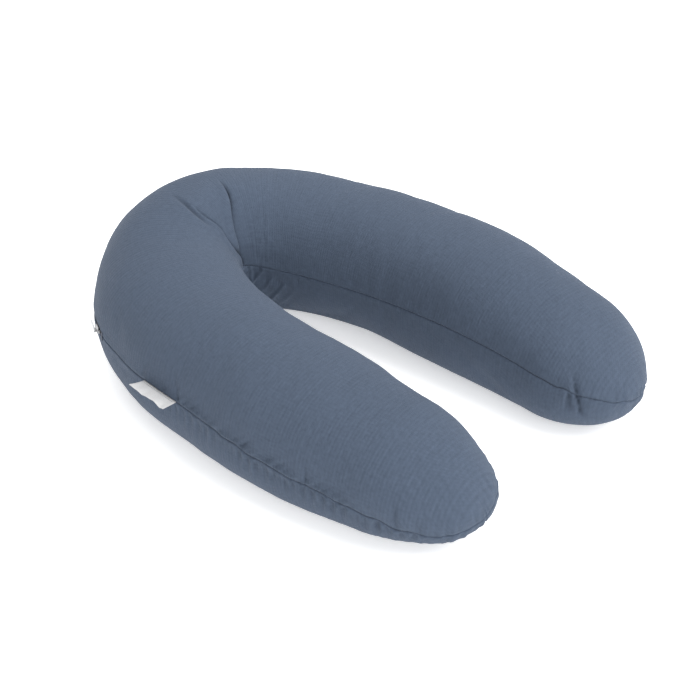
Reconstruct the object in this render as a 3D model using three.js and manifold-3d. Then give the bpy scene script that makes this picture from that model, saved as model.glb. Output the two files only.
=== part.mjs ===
// U-shaped nursing pillow: a zipped jersey cover over a closed inner bag of loose filling.
// Millimetres, +Z up, the U opens towards -Y, the labelled arm lies at -X.
import * as THREE from 'three';
import { mergeVertices } from 'three/addons/utils/BufferGeometryUtils.js';
import Module from 'manifold-3d';

// ---- driving dimensions -------------------------------------------------------------
// The spine is a plane curve that starts at the middle of the back and runs down each arm.
// Each list holds evenly spaced values from the middle of the back to the arm's tip.
const ARM = {
  left: {
    side: -1, length: 686.18, cap: 116.81,
    curvature: [8.693, 5.662, 2.689, 1.146, 0.844, 0.168, -0.745],   // 1/m
    halfWidth: [89.74, 99.8, 105.18, 99.69, 100.95, 88.93, 98.19],
    crown: [197.73, 184.8, 173.11, 167.2, 154.61, 136.1, 110.61],
    seamOut: [-0.001, -0.125, 0.279], seamIn: [-0.11, -0.141, -0.468],
  },
  right: {
    side: 1, length: 701.27, cap: 108.43,
    curvature: [8.693, 5.268, 2.646, 1.11, 0.527, -0.471, -1.635],
    halfWidth: [89.74, 98.8, 105.5, 104.0, 102.25, 95.06, 108.05],
    crown: [197.73, 186.84, 178.3, 174.77, 167.45, 140.04, 106.15],
    seamOut: [-0.001, 0.124, 0.316], seamIn: [-0.11, -0.156, -0.332],
  },
};
const EQUATOR = [0.4414, 0.4418, 0.4661];       // height of the widest line / crown height
const TIP_POWER = 1.8045;                       // roundness of the arm tips in plan
const TOP_A = 2.2819, TOP_B = 2.1504;           // section above the widest line
const LOW_C = 3.6331, LOW_D = 2.2283;           // section below it
const FLOOR_FLAT = 2.4;                         // depth pressed flat against the floor

const COVER = 0.45, SKIN_GAP = 0.25, BAG = 0.25;  // fabric thicknesses and the gaps between layers
const D_BAG = COVER + SKIN_GAP, D_FILL = D_BAG + BAG + SKIN_GAP;
const SEAM_HALF = 0.8, THREAD_HALF = 0.5;       // cover seam: panel edge and thread half widths
const BAG_SEAM_HALF = 0.6, BAG_THREAD_HALF = 0.3;

// zipper in the outer back seam: an exact arc about a vertical line
const ZIP_R = 247.14, ZIP_CY = -158.06, ZIP_Z = 85.4;
const ZIP_STATION = 177, ZIP_BLEND = 285;       // spine distances: end of the zipper, end of the blend
const SLOT_HALF = 8.0, TAPE_OUT = 7.7, TAPE_IN = 2.3, COIL_OUT = 2.0, COIL_IN = 0.15, COIL_PROUD = 1.0;
const ZIP_END_GAP = 0.4, STOP_LENGTH = 3.5, SLIDER_HALF = 6.0;

// arms bend about upright axes on the spine
const HINGE_STATION = 250, ELBOW_R = 110.4, ELBOW_GAP = 0.4, LIP = 48;

// folded woven label in the outer seam of the left arm (spine distances)
const LABEL_FROM = 276, LABEL_TO = 329, LABEL_OUT = 20, LABEL_THICK = 0.8, LABEL_ROOT = 0.35;

const TOP_LINES = 10, LOW_LINES = 8, RING = 480;

// ---- curves -------------------------------------------------------------------------
// natural cubic spline through evenly spaced values, mirrored about its first knot
function spline(values) {
  const n = values.length, v = [];
  for (let i = n - 1; i > 0; i--) v.push(values[i]);
  for (const x of values) v.push(x);
  const m = v.length, h = 1 / (n - 1);
  const a = new Array(m).fill(0), c = new Array(m).fill(0), d = new Array(m).fill(0);
  for (let i = 1; i < m - 1; i++) {
    const r = 6 * (v[i + 1] - 2 * v[i] + v[i - 1]) / (h * h), w = 4 - c[i - 1];
    c[i] = 1 / w; d[i] = (r - d[i - 1]) / w;
  }
  for (let i = m - 2; i > 0; i--) a[i] = d[i] - c[i] * a[i + 1];
  return t => {
    const u = (Math.min(Math.max(t, 0), 1) + 1) / h, i = Math.min(Math.floor(u), m - 2), f = u - i;
    return v[i] * (1 - f) + v[i + 1] * f + h * h / 6 * (((1 - f) ** 3 - (1 - f)) * a[i] + (f ** 3 - f) * a[i + 1]);
  };
}
const smooth = x => { const t = Math.min(Math.max(x, 0), 1); return t * t * (3 - 2 * t); };
const lerp = (a, b, f) => a + (b - a) * f;
const STEPS = 2000;
for (const arm of Object.values(ARM)) {
  for (const key of ['curvature', 'halfWidth', 'crown', 'seamOut', 'seamIn']) arm['f_' + key] = spline(arm[key]);
  arm.path = [[0, 0, 0]];
  const ds = arm.length / STEPS;
  let x = 0, y = 0, th = 0;
  for (let i = 0; i < STEPS; i++) {
    const th2 = th + arm.f_curvature((i + 0.5) / STEPS) / 1000 * ds, mid = (th + th2) / 2;
    x += arm.side * Math.cos(mid) * ds; y -= Math.sin(mid) * ds; th = th2;
    arm.path.push([x, y, th]);
  }
}
const equator = spline(EQUATOR);

// everything about the cross-section at signed spine distance s (negative on the left arm)
function station(s) {
  const arm = s < 0 ? ARM.left : ARM.right, q = Math.abs(s), t = q / arm.length;
  const u = Math.min(t * STEPS, STEPS - 1e-6), i = Math.floor(u), f = u - i;
  const [x, y, th] = [0, 1, 2].map(k => lerp(arm.path[i][k], arm.path[i + 1][k], f));
  const nx = arm.side * Math.sin(th), ny = Math.cos(th);
  const w = arm.f_halfWidth(t), h = arm.f_crown(t), zm = equator(t) * h;
  const tt = Math.min(Math.max((q - (arm.length - arm.cap)) / arm.cap, 0), 1);
  const e = Math.sqrt(Math.max(1 - tt ** TIP_POWER, 0));
  let wo = w, qo = arm.f_seamOut(t);
  const k = 1 - smooth((q - ZIP_STATION - 4) / (ZIP_BLEND - ZIP_STATION - 4));
  if (k > 0) {
    // the wall follows the zipper's arc, and the seam stays level
    const bx = x, by = y - ZIP_CY, b = bx * nx + by * ny;
    const reach = -b + Math.sqrt(Math.max(b * b - (bx * bx + by * by - ZIP_R * ZIP_R), 0));
    const qz = (zm - ZIP_Z) / zm, qt = qz >= 0 ? qz : (zm - ZIP_Z) / (h - zm);
    const us = qt >= 0 ? (1 - qt ** LOW_D) ** (1 / LOW_C) : (1 - (-qt) ** TOP_B) ** (1 / TOP_A);
    wo = lerp(w, Math.min(Math.max(reach / us, w - 4), w + 4), k);
    qo = lerp(qo, qt, k);
  }
  return { s, x, y, nx, ny, w, wo, h, e, zm, qo, qi: arm.f_seamIn(t), side: arm.side };
}

const cache = new Map();
// closed section outline with its arc lengths; it starts on the outer side and goes over the top
function ring(s) {
  if (cache.has(s)) return cache.get(s);
  const st = station(s), r = [], z = [], len = [0];
  for (let k = 0; k <= RING; k++) {
    const a = 2 * Math.PI * k / RING, U = Math.cos(a), au = Math.min(Math.abs(U), 1);
    const up = k <= RING / 2;
    r.push((U > 0 ? st.wo : st.w) * st.e * U);
    let h = up ? st.zm + (st.h - st.zm) * st.e * Math.max(1 - au ** TOP_A, 0) ** (1 / TOP_B)
      : st.zm - st.zm * st.e ** 0.8 * Math.max(1 - au ** LOW_C, 0) ** (1 / LOW_D);
    if (h < st.zm) h = Math.max(0, (h - FLOOR_FLAT) * st.zm / (st.zm - FLOOR_FLAT));
    z.push(h);
    if (k) len.push(len[k - 1] + Math.hypot(r[k] - r[k - 1], z[k] - z[k - 1]));
  }
  const at = a => { const u = ((a / (2 * Math.PI)) % 1 + 1) % 1 * RING, i = Math.floor(u); return lerp(len[i], len[i + 1], u - i); };
  const ang = q => q >= 0 ? -Math.acos((1 - q ** LOW_D) ** (1 / LOW_C)) : Math.acos((1 - (-q) ** TOP_B) ** (1 / TOP_A));
  const total = len[RING];
  let out = at(ang(st.qo)); if (out > total / 2) out -= total;
  const inn = at(Math.PI - ang(st.qi));
  const o = { st, r, z, len, total, out, inn };
  cache.set(s, o);
  return o;
}
// point on the surface at spine distance s and arc length L
function at(s, L) {
  const o = ring(s); L = ((L % o.total) + o.total) % o.total;
  let lo = 0, hi = RING;
  while (hi - lo > 1) { const m = (lo + hi) >> 1; if (o.len[m] <= L) lo = m; else hi = m; }
  const f = (L - o.len[lo]) / Math.max(o.len[hi] - o.len[lo], 1e-9);
  const r = lerp(o.r[lo], o.r[hi], f), z = lerp(o.z[lo], o.z[hi], f);
  return new THREE.Vector3(o.st.x + o.st.nx * r, o.st.y + o.st.ny * r, z);
}
// place(s, arc) with arc(o) giving the arc length on outline o; returns point and outward normal
function place(s, arc) {
  const arm = s < 0 ? ARM.left : ARM.right;
  const o = ring(s), L = arc(o), p = at(s, L), dl = Math.min(1.2, o.total * 0.02);
  const room = arm.length - Math.abs(s), ds = Math.min(0.6, room * 0.5);
  const sa = s - ds, sb = s + ds;
  const u = at(s, L + dl).sub(at(s, L - dl)), v = at(sb, arc(ring(sb))).sub(at(sa, arc(ring(sa))));
  const n = u.cross(v).normalize();
  const away = p.clone().sub(new THREE.Vector3(o.st.x, o.st.y, o.st.zm));
  if (n.dot(away) < 0) n.negate();
  return { p, n };
}
const sunk = (v, d) => v.p.clone().addScaledVector(v.n, -d);

// ---- stations -----------------------------------------------------------------------
function armStations(arm) {
  const list = [], end = arm.length - arm.cap;
  for (let i = 1; i <= 8; i++) list.push(ZIP_STATION * i / 8);
  list.push(ZIP_STATION + 3, ZIP_STATION + 7);
  for (let i = 1; i <= 9; i++) list.push(lerp(ZIP_STATION + 7, end, i / 9));
  for (const a of [22, 41, 58, 73, 85.5]) list.push(end + arm.cap * Math.sin(a * Math.PI / 180) ** (2 / TIP_POWER));
  return list;
}
const STATIONS = [...armStations(ARM.left).map(s => -s).reverse(), 0, ...armStations(ARM.right)];
const inSlot = s => Math.abs(s) <= ZIP_STATION + 0.01;

// ---- mesh building ------------------------------------------------------------------
class Solid {
  constructor() { this.v = []; this.f = []; }
  add(p) { this.v.push(p.x, p.y, p.z); return this.v.length / 3 - 1; }
  tri(a, b, c) { this.f.push(a, b, c); }
  quad(a, b, c, d) { this.f.push(a, b, c, a, c, d); }
  geometry() {
    const g = new THREE.BufferGeometry();
    g.setAttribute('position', new THREE.Float32BufferAttribute(this.v, 3));
    g.setIndex(this.f);
    return faceOut(g);
  }
}
function faceOut(g) {
  const p = g.attributes.position, ix = g.index.array;
  let vol = 0; const a = new THREE.Vector3(), b = new THREE.Vector3(), c = new THREE.Vector3();
  for (let i = 0; i < ix.length; i += 3) {
    a.fromBufferAttribute(p, ix[i]); b.fromBufferAttribute(p, ix[i + 1]); c.fromBufferAttribute(p, ix[i + 2]);
    vol += a.dot(b.cross(c));
  }
  if (vol < 0) for (let i = 0; i < ix.length; i += 3) { const t = ix[i]; ix[i] = ix[i + 1]; ix[i + 1] = t; }
  return g;
}
// a thin closed panel between two grids of points (rows along the spine, columns round the section);
// both ends close across the chord from the last column to the first
function panel(rows, dOut, dIn) {
  const m = new Solid(), o = rows.map(r => r.map(v => m.add(sunk(v, dOut)))), n = rows.map(r => r.map(v => m.add(sunk(v, dIn))));
  const R = rows.length - 1, C = rows[0].length - 1;
  for (let i = 0; i < R; i++) for (let j = 0; j < C; j++) {
    m.quad(o[i][j], o[i + 1][j], o[i + 1][j + 1], o[i][j + 1]);
    m.quad(n[i][j], n[i][j + 1], n[i + 1][j + 1], n[i + 1][j]);
  }
  for (let i = 0; i < R; i++) {
    m.quad(o[i][0], n[i][0], n[i + 1][0], o[i + 1][0]);
    m.quad(o[i][C], o[i + 1][C], n[i + 1][C], n[i][C]);
  }
  for (const [i, flip] of [[0, false], [R, true]]) {
    for (let j = 1; j < C; j++) {
      flip ? m.tri(o[i][0], o[i][j + 1], o[i][j]) : m.tri(o[i][0], o[i][j], o[i][j + 1]);
      flip ? m.tri(n[i][0], n[i][j], n[i][j + 1]) : m.tri(n[i][0], n[i][j + 1], n[i][j]);
    }
    flip ? m.quad(o[i][0], n[i][0], n[i][C], o[i][C]) : m.quad(o[i][0], o[i][C], n[i][C], n[i][0]);
  }
  return m.geometry();
}
// a band of quadrilateral section swept through a list of four-point rings; open or closed
function band(rings, closed) {
  const m = new Solid(), id = rings.map(r => r.map(p => m.add(p))), K = rings[0].length, N = rings.length;
  for (let i = 0; i < (closed ? N : N - 1); i++) for (let k = 0; k < K; k++) {
    const a = id[i], b = id[(i + 1) % N];
    m.quad(a[k], a[(k + 1) % K], b[(k + 1) % K], b[k]);
  }
  if (!closed) for (let k = 1; k < K - 1; k++) {
    m.tri(id[0][0], id[0][k + 1], id[0][k]);
    m.tri(id[N - 1][0], id[N - 1][k], id[N - 1][k + 1]);
  }
  return m.geometry();
}

const wasm = await Module();
wasm.setup();
function toManifold(geometry) {
  let g = geometry.clone();
  for (const k of Object.keys(g.attributes)) if (k !== 'position') g.deleteAttribute(k);
  g = mergeVertices(g, 1e-4);
  return new wasm.Manifold(new wasm.Mesh({ numProp: 3, vertProperties: new Float32Array(g.attributes.position.array), triVerts: new Uint32Array(g.index.array) }));
}
function fromManifold(solid) {
  const mesh = solid.getMesh(), n = mesh.numProp, v = [];
  for (let i = 0; i < mesh.vertProperties.length; i += n) v.push(mesh.vertProperties[i], mesh.vertProperties[i + 1], mesh.vertProperties[i + 2]);
  const g = new THREE.BufferGeometry();
  g.setAttribute('position', new THREE.Float32BufferAttribute(v, 3));
  g.setIndex(Array.from(mesh.triVerts));
  return g;
}
// an upright prism over a plan outline
function prism(points, z0, z1) {
  const g = new THREE.ExtrudeGeometry(new THREE.Shape(points.map(p => new THREE.Vector2(p[0], p[1]))), { depth: z1 - z0, bevelEnabled: false });
  return g.translate(0, 0, z0);
}
const disc = (x, y, r, n) => Array.from({ length: n }, (_, i) => [x + r * Math.cos(2 * Math.PI * i / n), y + r * Math.sin(2 * Math.PI * i / n)]);

// ---- layers -------------------------------------------------------------------------
const rowsTop = (gap, slot) => STATIONS.map(s => {
  const go = slot && inSlot(s) ? SLOT_HALF : gap, row = [];
  for (let j = 0; j <= TOP_LINES; j++) row.push(place(s, o => j === 0 ? o.out + go : j === TOP_LINES ? o.inn - gap : lerp(o.out, o.inn, j / TOP_LINES)));
  return row;
});
const rowsLow = (gap, slot) => STATIONS.map(s => {
  const go = slot && inSlot(s) ? SLOT_HALF : gap, row = [];
  for (let j = 0; j <= LOW_LINES; j++) row.push(place(s, o => j === 0 ? o.inn + gap : j === LOW_LINES ? o.out + o.total - go : lerp(o.inn, o.out + o.total, j / LOW_LINES)));
  return row;
});
function fillBody() {
  const m = new Solid(), top = rowsTop(0, false), low = rowsLow(0, false);
  const id = STATIONS.map((_, i) => [...top[i], ...low[i].slice(1, -1)].map(v => m.add(sunk(v, D_FILL))));
  const R = id.length - 1, C = id[0].length;
  for (let i = 0; i < R; i++) for (let j = 0; j < C; j++) m.quad(id[i][j], id[i + 1][j], id[i + 1][(j + 1) % C], id[i][(j + 1) % C]);
  for (const [i, flip] of [[0, false], [R, true]]) {
    for (let j = 1; j < TOP_LINES; j++) flip ? m.tri(id[i][0], id[i][j + 1], id[i][j]) : m.tri(id[i][0], id[i][j], id[i][j + 1]);
    const low0 = TOP_LINES;
    for (let j = 1; j < LOW_LINES; j++) {
      const a = id[i][(low0 + j) % C], b = id[i][(low0 + j + 1) % C];
      flip ? m.tri(id[i][low0], b, a) : m.tri(id[i][low0], a, b);
    }
  }
  return m.geometry();
}
// thread or tape that fills the space between two panel edges
const threadRing = (s, where, half, dOut, dIn) => {
  const a = place(s, o => where(o) + half), b = place(s, o => where(o) - half);
  return [sunk(a, dOut), sunk(b, dOut), sunk(b, dIn), sunk(a, dIn)];
};
const OUT = o => o.out, INN = o => o.inn;
const innerRing = (s, half, dOut, dIn) => {
  // the inner seam runs back the other way, so its upper edge stays the first point
  const a = place(s, o => o.inn - half), b = place(s, o => o.inn + half);
  return [sunk(a, dOut), sunk(b, dOut), sunk(b, dIn), sunk(a, dIn)];
};

// ---- zipper helpers -----------------------------------------------------------------
const onArc = (a, d, z) => new THREE.Vector3((ZIP_R - d) * Math.sin(a), ZIP_CY + (ZIP_R - d) * Math.cos(a), ZIP_Z + z);
const zipAngle = s => { const p = at(s, ring(s).out); return Math.atan2(p.x, p.y - ZIP_CY); };
const A0 = zipAngle(-ZIP_STATION), A1 = zipAngle(ZIP_STATION), MM = 1 / ZIP_R;
function arcBand(a0, a1, n, z0, z1, dOut, dIn) {
  const rings = [];
  for (let i = 0; i <= n; i++) { const a = lerp(a0, a1, i / n); rings.push([onArc(a, dOut, z1), onArc(a, dOut, z0), onArc(a, dIn, z0), onArc(a, dIn, z1)]); }
  return band(rings, false);
}
const tapeA0 = A0 + ZIP_END_GAP * MM, tapeA1 = A1 - ZIP_END_GAP * MM;
const stopA0 = tapeA0 + 2 * MM, stopA1 = tapeA1 - 2 * MM;
const coilA0 = stopA0 + (STOP_LENGTH + 0.4) * MM, coilA1 = stopA1 - (STOP_LENGTH + 0.4) * MM;
const sliderA = coilA0 + (SLIDER_HALF + 0.5) * MM;

// slider frame: X along the zipper towards the middle of the back, Y down, Z outwards
function onSlider(g) {
  const t = new THREE.Vector3(Math.cos(sliderA), -Math.sin(sliderA), 0), down = new THREE.Vector3(0, 0, -1);
  const out = new THREE.Vector3(Math.sin(sliderA), Math.cos(sliderA), 0);
  const c = onArc(sliderA, 0, 0);
  return g.applyMatrix4(new THREE.Matrix4().makeBasis(t, down, out).setPosition(c));
}
const extrude = (pts, z0, z1, holes = []) => {
  const sh = new THREE.Shape(pts.map(p => new THREE.Vector2(p[0], p[1])));
  for (const h of holes) sh.holes.push(new THREE.Path(h.map(p => new THREE.Vector2(p[0], p[1]))));
  return new THREE.ExtrudeGeometry(sh, { depth: z1 - z0, bevelEnabled: false }).translate(0, 0, z0);
};
const box = (x0, x1, y0, y1, z0, z1) => new THREE.BoxGeometry(x1 - x0, y1 - y0, z1 - z0).translate((x0 + x1) / 2, (y0 + y1) / 2, (z0 + z1) / 2);
const PIN_Z = 4.9, PIN_R = 0.65, BARREL_R = 1.5, BARREL_BORE = 0.95, BARREL_HALF = 1.7, LUG_IN = 2.0, LUG_OUT = 3.3;
const PULL_LENGTH = 24, PULL_HALF = 3.6, PULL_THICK = 1.1;
function sliderBody() {
  const plate = extrude([[-6, -2.6], [-4.6, -4], [0, -4.5], [4.2, -4.4], [6, -3], [5.2, 0], [6, 3], [4.2, 4.4], [0, 4.5], [-4.6, 4], [-6, 2.6]], 1.3, 3.0);
  let s = toManifold(plate);
  for (const k of [-1, 1]) {
    s = s.add(toManifold(box(-5, 5, Math.min(k * 2.5, k * 3.9), Math.max(k * 2.5, k * 3.9), 0.35, 2)));
    s = s.add(toManifold(box(-1.5, 1.5, Math.min(k * LUG_IN, k * LUG_OUT), Math.max(k * LUG_IN, k * LUG_OUT), 2.5, PIN_Z + 1.3)));
  }
  const pin = new THREE.CylinderGeometry(PIN_R, PIN_R, 2 * LUG_IN + 1.6, 10).translate(0, 0, PIN_Z);
  return onSlider(fromManifold(s.add(toManifold(pin))));
}
function pullTab() {
  // barrel round the slider's pin, then a flat tab that widens past the lugs
  const ringPts = disc(0, 0, BARREL_R, 16), hole = disc(0, 0, BARREL_BORE, 12).reverse();
  const barrel = extrude(ringPts, -BARREL_HALF, BARREL_HALF, [hole]).rotateX(-Math.PI / 2).translate(0, 0, PIN_Z);
  const tab = extrude([[1.15, -1.7], [3.2, -1.7], [5.2, -PULL_HALF + 0.6], [PULL_LENGTH - 3, -PULL_HALF], [PULL_LENGTH - 0.8, -2.4], [PULL_LENGTH, 0],
    [PULL_LENGTH - 0.8, 2.4], [PULL_LENGTH - 3, PULL_HALF], [5.2, PULL_HALF - 0.6], [3.2, 1.7], [1.15, 1.7]], PIN_Z - PULL_THICK / 2, PIN_Z + PULL_THICK / 2);
  return onSlider(fromManifold(toManifold(barrel).add(toManifold(tab))));
}

// ---- the pieces ---------------------------------------------------------------------
const root = new THREE.Group();
root.name = 'nursing_pillow';
function piece(name, geometry, color, roughness, metalness = 0) {
  const mesh = new THREE.Mesh(geometry, new THREE.MeshStandardMaterial({ color, roughness, metalness }));
  mesh.name = name;
  root.add(mesh);
  return mesh;
}
const CLOTH = 0x5d6a7e, THREAD = 0x4c586b, WHITE = 0xeceae4, BAGCLOTH = 0xe8e4da, BEADS = 0xf3f1ea, STEEL = 0xb9bcc0, TAPE = 0x566377;

piece('cover_top_panel', panel(rowsTop(SEAM_HALF, true), 0, COVER), CLOTH, 0.9);
piece('cover_bottom_panel', panel(rowsLow(SEAM_HALF, true), 0, COVER), CLOTH, 0.9);
piece('inner_bag_top_panel', panel(rowsTop(BAG_SEAM_HALF, false), D_BAG, D_BAG + BAG), BAGCLOTH, 0.9);
piece('inner_bag_bottom_panel', panel(rowsLow(BAG_SEAM_HALF, false), D_BAG, D_BAG + BAG), BAGCLOTH, 0.9);

// cover seam thread: from one end of the zipper round both tips and the inside of the U to its other end
{
  const d0 = -0.1, d1 = COVER - 0.1, rings = [], n = STATIONS.length;
  const start = STATIONS.filter(s => s < -ZIP_STATION - 3.01).reverse(), end = STATIONS.filter(s => s > ZIP_STATION + 3.01).reverse();
  for (const s of start) rings.push(threadRing(s, OUT, THREAD_HALF, d0, d1));
  for (let i = 0; i < n; i++) rings.push(innerRing(STATIONS[i], THREAD_HALF, d0, d1));
  for (const s of end) rings.push(threadRing(s, OUT, THREAD_HALF, d0, d1));
  piece('cover_seam_thread', band(rings, false), THREAD, 0.8);
}
{
  const rings = [], n = STATIONS.length, d0 = D_BAG, d1 = D_BAG + BAG;
  for (let i = n - 1; i >= 0; i--) rings.push(threadRing(STATIONS[i], OUT, BAG_THREAD_HALF, d0, d1));
  for (let i = 0; i < n; i++) rings.push(innerRing(STATIONS[i], BAG_THREAD_HALF, d0, d1));
  piece('inner_bag_seam_thread', band(rings, true), WHITE, 0.8);
}

// loose filling, parted at the two bends so that each arm can swing
{
  const all = toManifold(fillBody());
  let back = all;
  const arms = {};
  for (const [key, arm] of Object.entries(ARM)) {
    const st = station(arm.side * HINGE_STATION), H = [st.x, st.y], N = [st.nx, st.ny], T = [st.side * st.ny, -st.side * st.nx];
    const q = (n, t) => [H[0] + N[0] * n + T[0] * t, H[1] + N[1] * n + T[1] * t];
    const far = [arm.side * 2, -760], wide = [arm.side * 420, -760];
    const beyond = t => prism([q(240, t), q(-128, t), far, wide], -20, 240);
    const elbow = prism(disc(...H, ELBOW_R, 48), -30, 250);
    const hollow = prism(disc(...H, (ELBOW_R + ELBOW_GAP) / Math.cos(Math.PI / 48), 48), -30, 250);
    back = back.subtract(toManifold(beyond(0)).subtract(toManifold(elbow)));
    arms[key] = all.intersect(toManifold(beyond(LIP)).subtract(toManifold(hollow)));
  }
  piece('bead_filling_back', fromManifold(back), BEADS, 0.9);
  piece('bead_filling_left_arm', fromManifold(arms.left), BEADS, 0.9);
  piece('bead_filling_right_arm', fromManifold(arms.right), BEADS, 0.9);
}

// zipper
piece('zipper_tape_upper', arcBand(tapeA0, tapeA1, 30, TAPE_IN, TAPE_OUT, 0, COVER), TAPE, 0.8);
piece('zipper_tape_lower', arcBand(tapeA0, tapeA1, 30, -TAPE_OUT, -TAPE_IN, 0, COVER), TAPE, 0.8);
piece('zipper_coil_upper', arcBand(coilA0, coilA1, 30, COIL_IN, COIL_OUT, -COIL_PROUD, COVER), TAPE, 0.45);
piece('zipper_coil_lower', arcBand(coilA0, coilA1, 30, -COIL_OUT, -COIL_IN, -COIL_PROUD, COVER), TAPE, 0.45);
piece('zipper_end_stop_left', arcBand(stopA0, stopA0 + STOP_LENGTH * MM, 1, -2, 2, -1.5, COVER), STEEL, 0.35, 0.9);
piece('zipper_end_stop_right', arcBand(stopA1 - STOP_LENGTH * MM, stopA1, 1, -2, 2, -1.5, COVER), STEEL, 0.35, 0.9);
for (const [name, k] of [['zipper_bartack_left', -1], ['zipper_bartack_right', 1]]) {
  const s = k * (ZIP_STATION + 3.6), rings = [];
  for (const ds of [0, 2.4]) {
    const a = place(s + k * ds, o => o.out + 6), b = place(s + k * ds, o => o.out - 6);
    rings.push([sunk(a, -1.1), sunk(b, -1.1), sunk(b, -0.45), sunk(a, -0.45)]);
  }
  piece(name, band(rings, false), THREAD, 0.8);
}
piece('zipper_slider_body', sliderBody(), STEEL, 0.35, 0.9);
piece('zipper_pull_tab', pullTab(), STEEL, 0.35, 0.9);

// folded label held by the outer seam of the left arm; it stands out from the wall, rising a little
// at its rear end, with a soft wave along its free edge
{
  const N = 10, M = 5, H = LABEL_THICK / 2;
  const point = (u, out, lift) => {
    const { p, n } = place(-lerp(LABEL_FROM, LABEL_TO, u), o => o.out), v = out / LABEL_OUT;
    const flat = new THREE.Vector3(n.x, n.y, 0).normalize();
    const reach = out * lerp(1, 0.9, u), wave = 0.9 * Math.sin(11 * u + 0.6) * v * v;
    const curl = -2.2 * v * v * v * Math.max(0, 1 - Math.abs(u - 0.9) / 0.2) ** 2;
    const q = p.clone().addScaledVector(n, LABEL_ROOT).addScaledVector(flat, reach);
    q.z += lerp(2.8, 1, u) * v + wave + curl + lift;
    return q;
  };
  const m = new Solid(), grid = lift => {
    const rows = [];
    for (let i = 0; i <= N; i++) { rows.push([]); for (let j = 0; j <= M; j++) rows[i].push(m.add(point(i / N, LABEL_OUT * j / M, lift))); }
    return rows;
  };
  const o = grid(-H), n = grid(H);
  for (let i = 0; i < N; i++) for (let j = 0; j < M; j++) { m.quad(o[i][j], o[i][j + 1], o[i + 1][j + 1], o[i + 1][j]); m.quad(n[i][j], n[i + 1][j], n[i + 1][j + 1], n[i][j + 1]); }
  for (let i = 0; i < N; i++) { m.quad(o[i][0], o[i + 1][0], n[i + 1][0], n[i][0]); m.quad(o[i][M], n[i][M], n[i + 1][M], o[i + 1][M]); }
  for (let j = 0; j < M; j++) { m.quad(o[0][j], n[0][j], n[0][j + 1], o[0][j + 1]); m.quad(o[N][j], o[N][j + 1], n[N][j + 1], n[N][j]); }
  piece('side_label', m.geometry(), WHITE, 0.7);
  const line = [];
  for (let i = 0; i <= N; i++) {
    const u = lerp(0.02, 0.98, i / N);
    line.push([point(u, 1.5, H + 0.12), point(u, 2.2, H + 0.12), point(u, 2.2, H + 0.47), point(u, 1.5, H + 0.47)]);
  }
  piece('side_label_stitch', band(line, false), THREAD, 0.8);
}

// origin: middle of the overall box in plan, on the floor
const bounds = new THREE.Box3().setFromObject(root), mid = bounds.getCenter(new THREE.Vector3());
for (const mesh of root.children) mesh.geometry.translate(-mid.x, -mid.y, -bounds.min.z);

export default root;
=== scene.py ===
import math

import bpy
import numpy as np
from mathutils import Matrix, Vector
from mathutils.kdtree import KDTree


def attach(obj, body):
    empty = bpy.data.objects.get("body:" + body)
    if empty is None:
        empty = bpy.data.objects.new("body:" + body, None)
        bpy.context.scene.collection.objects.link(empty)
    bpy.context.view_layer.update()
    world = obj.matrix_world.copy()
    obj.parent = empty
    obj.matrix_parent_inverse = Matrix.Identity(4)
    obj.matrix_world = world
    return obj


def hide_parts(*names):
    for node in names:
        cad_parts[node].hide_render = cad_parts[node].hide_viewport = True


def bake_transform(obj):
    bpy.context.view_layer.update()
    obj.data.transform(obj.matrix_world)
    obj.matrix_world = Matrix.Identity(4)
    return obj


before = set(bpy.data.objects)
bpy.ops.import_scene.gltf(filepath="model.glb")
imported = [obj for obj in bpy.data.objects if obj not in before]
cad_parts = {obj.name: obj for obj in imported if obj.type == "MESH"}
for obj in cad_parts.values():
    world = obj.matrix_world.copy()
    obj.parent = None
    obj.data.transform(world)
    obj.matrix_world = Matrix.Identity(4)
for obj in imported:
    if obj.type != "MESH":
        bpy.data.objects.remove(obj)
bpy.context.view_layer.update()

# ---- the pillow's shape (millimetres), the same curves that the solids are swept from --------
ARM = {
    -1: dict(
        length=686.18, cap=116.81, curv=[8.693, 5.662, 2.689, 1.146, 0.844, 0.168, -0.745],
        half=[89.74, 99.8, 105.18, 99.69, 100.95, 88.93, 98.19],
        crown=[197.73, 184.8, 173.11, 167.2, 154.61, 136.1, 110.61],
        qo=[-0.001, -0.125, 0.279], qi=[-0.11, -0.141, -0.468],
    ),
    1: dict(
        length=701.27, cap=108.43, curv=[8.693, 5.268, 2.646, 1.11, 0.527, -0.471, -1.635],
        half=[89.74, 98.8, 105.5, 104.0, 102.25, 95.06, 108.05],
        crown=[197.73, 186.84, 178.3, 174.77, 167.45, 140.04, 106.15],
        qo=[-0.001, 0.124, 0.316], qi=[-0.11, -0.156, -0.332],
    ),
}
EQUATOR = [0.4414, 0.4418, 0.4661]
TIP_POWER, TOP_A, TOP_B, LOW_C, LOW_D, FLOOR_FLAT = 1.8045, 2.2819, 2.1504, 3.6331, 2.2283, 2.4
ZIP_R, ZIP_CY, ZIP_Z, ZIP_S, ZIP_BLEND = 247.14, -158.06, 85.4, 177.0, 285.0
MID = np.array([-1.8922272, -265.0709038])
RING = 720


def spline(values):
    """Natural cubic spline through evenly spaced values, mirrored about its first knot."""
    v = np.array(values[:0:-1] + values, float)
    m, h = len(v), 1 / (len(values) - 1)
    A, b = np.eye(m), np.zeros(m)
    for i in range(1, m - 1):
        A[i, i - 1 : i + 2] = (1, 4, 1)
        b[i] = 6 * (v[i + 1] - 2 * v[i] + v[i - 1]) / h**2
    a = np.linalg.solve(A, b)

    def f(t):
        u = (np.clip(t, 0, 1) + 1) / h
        i = np.minimum(u.astype(int), m - 2)
        k = u - i
        return v[i] * (1 - k) + v[i + 1] * k + h * h / 6 * (((1 - k) ** 3 - (1 - k)) * a[i] + (k**3 - k) * a[i + 1])

    return f


def smooth(x):
    t = np.clip(x, 0, 1)
    return t * t * (3 - 2 * t)


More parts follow.
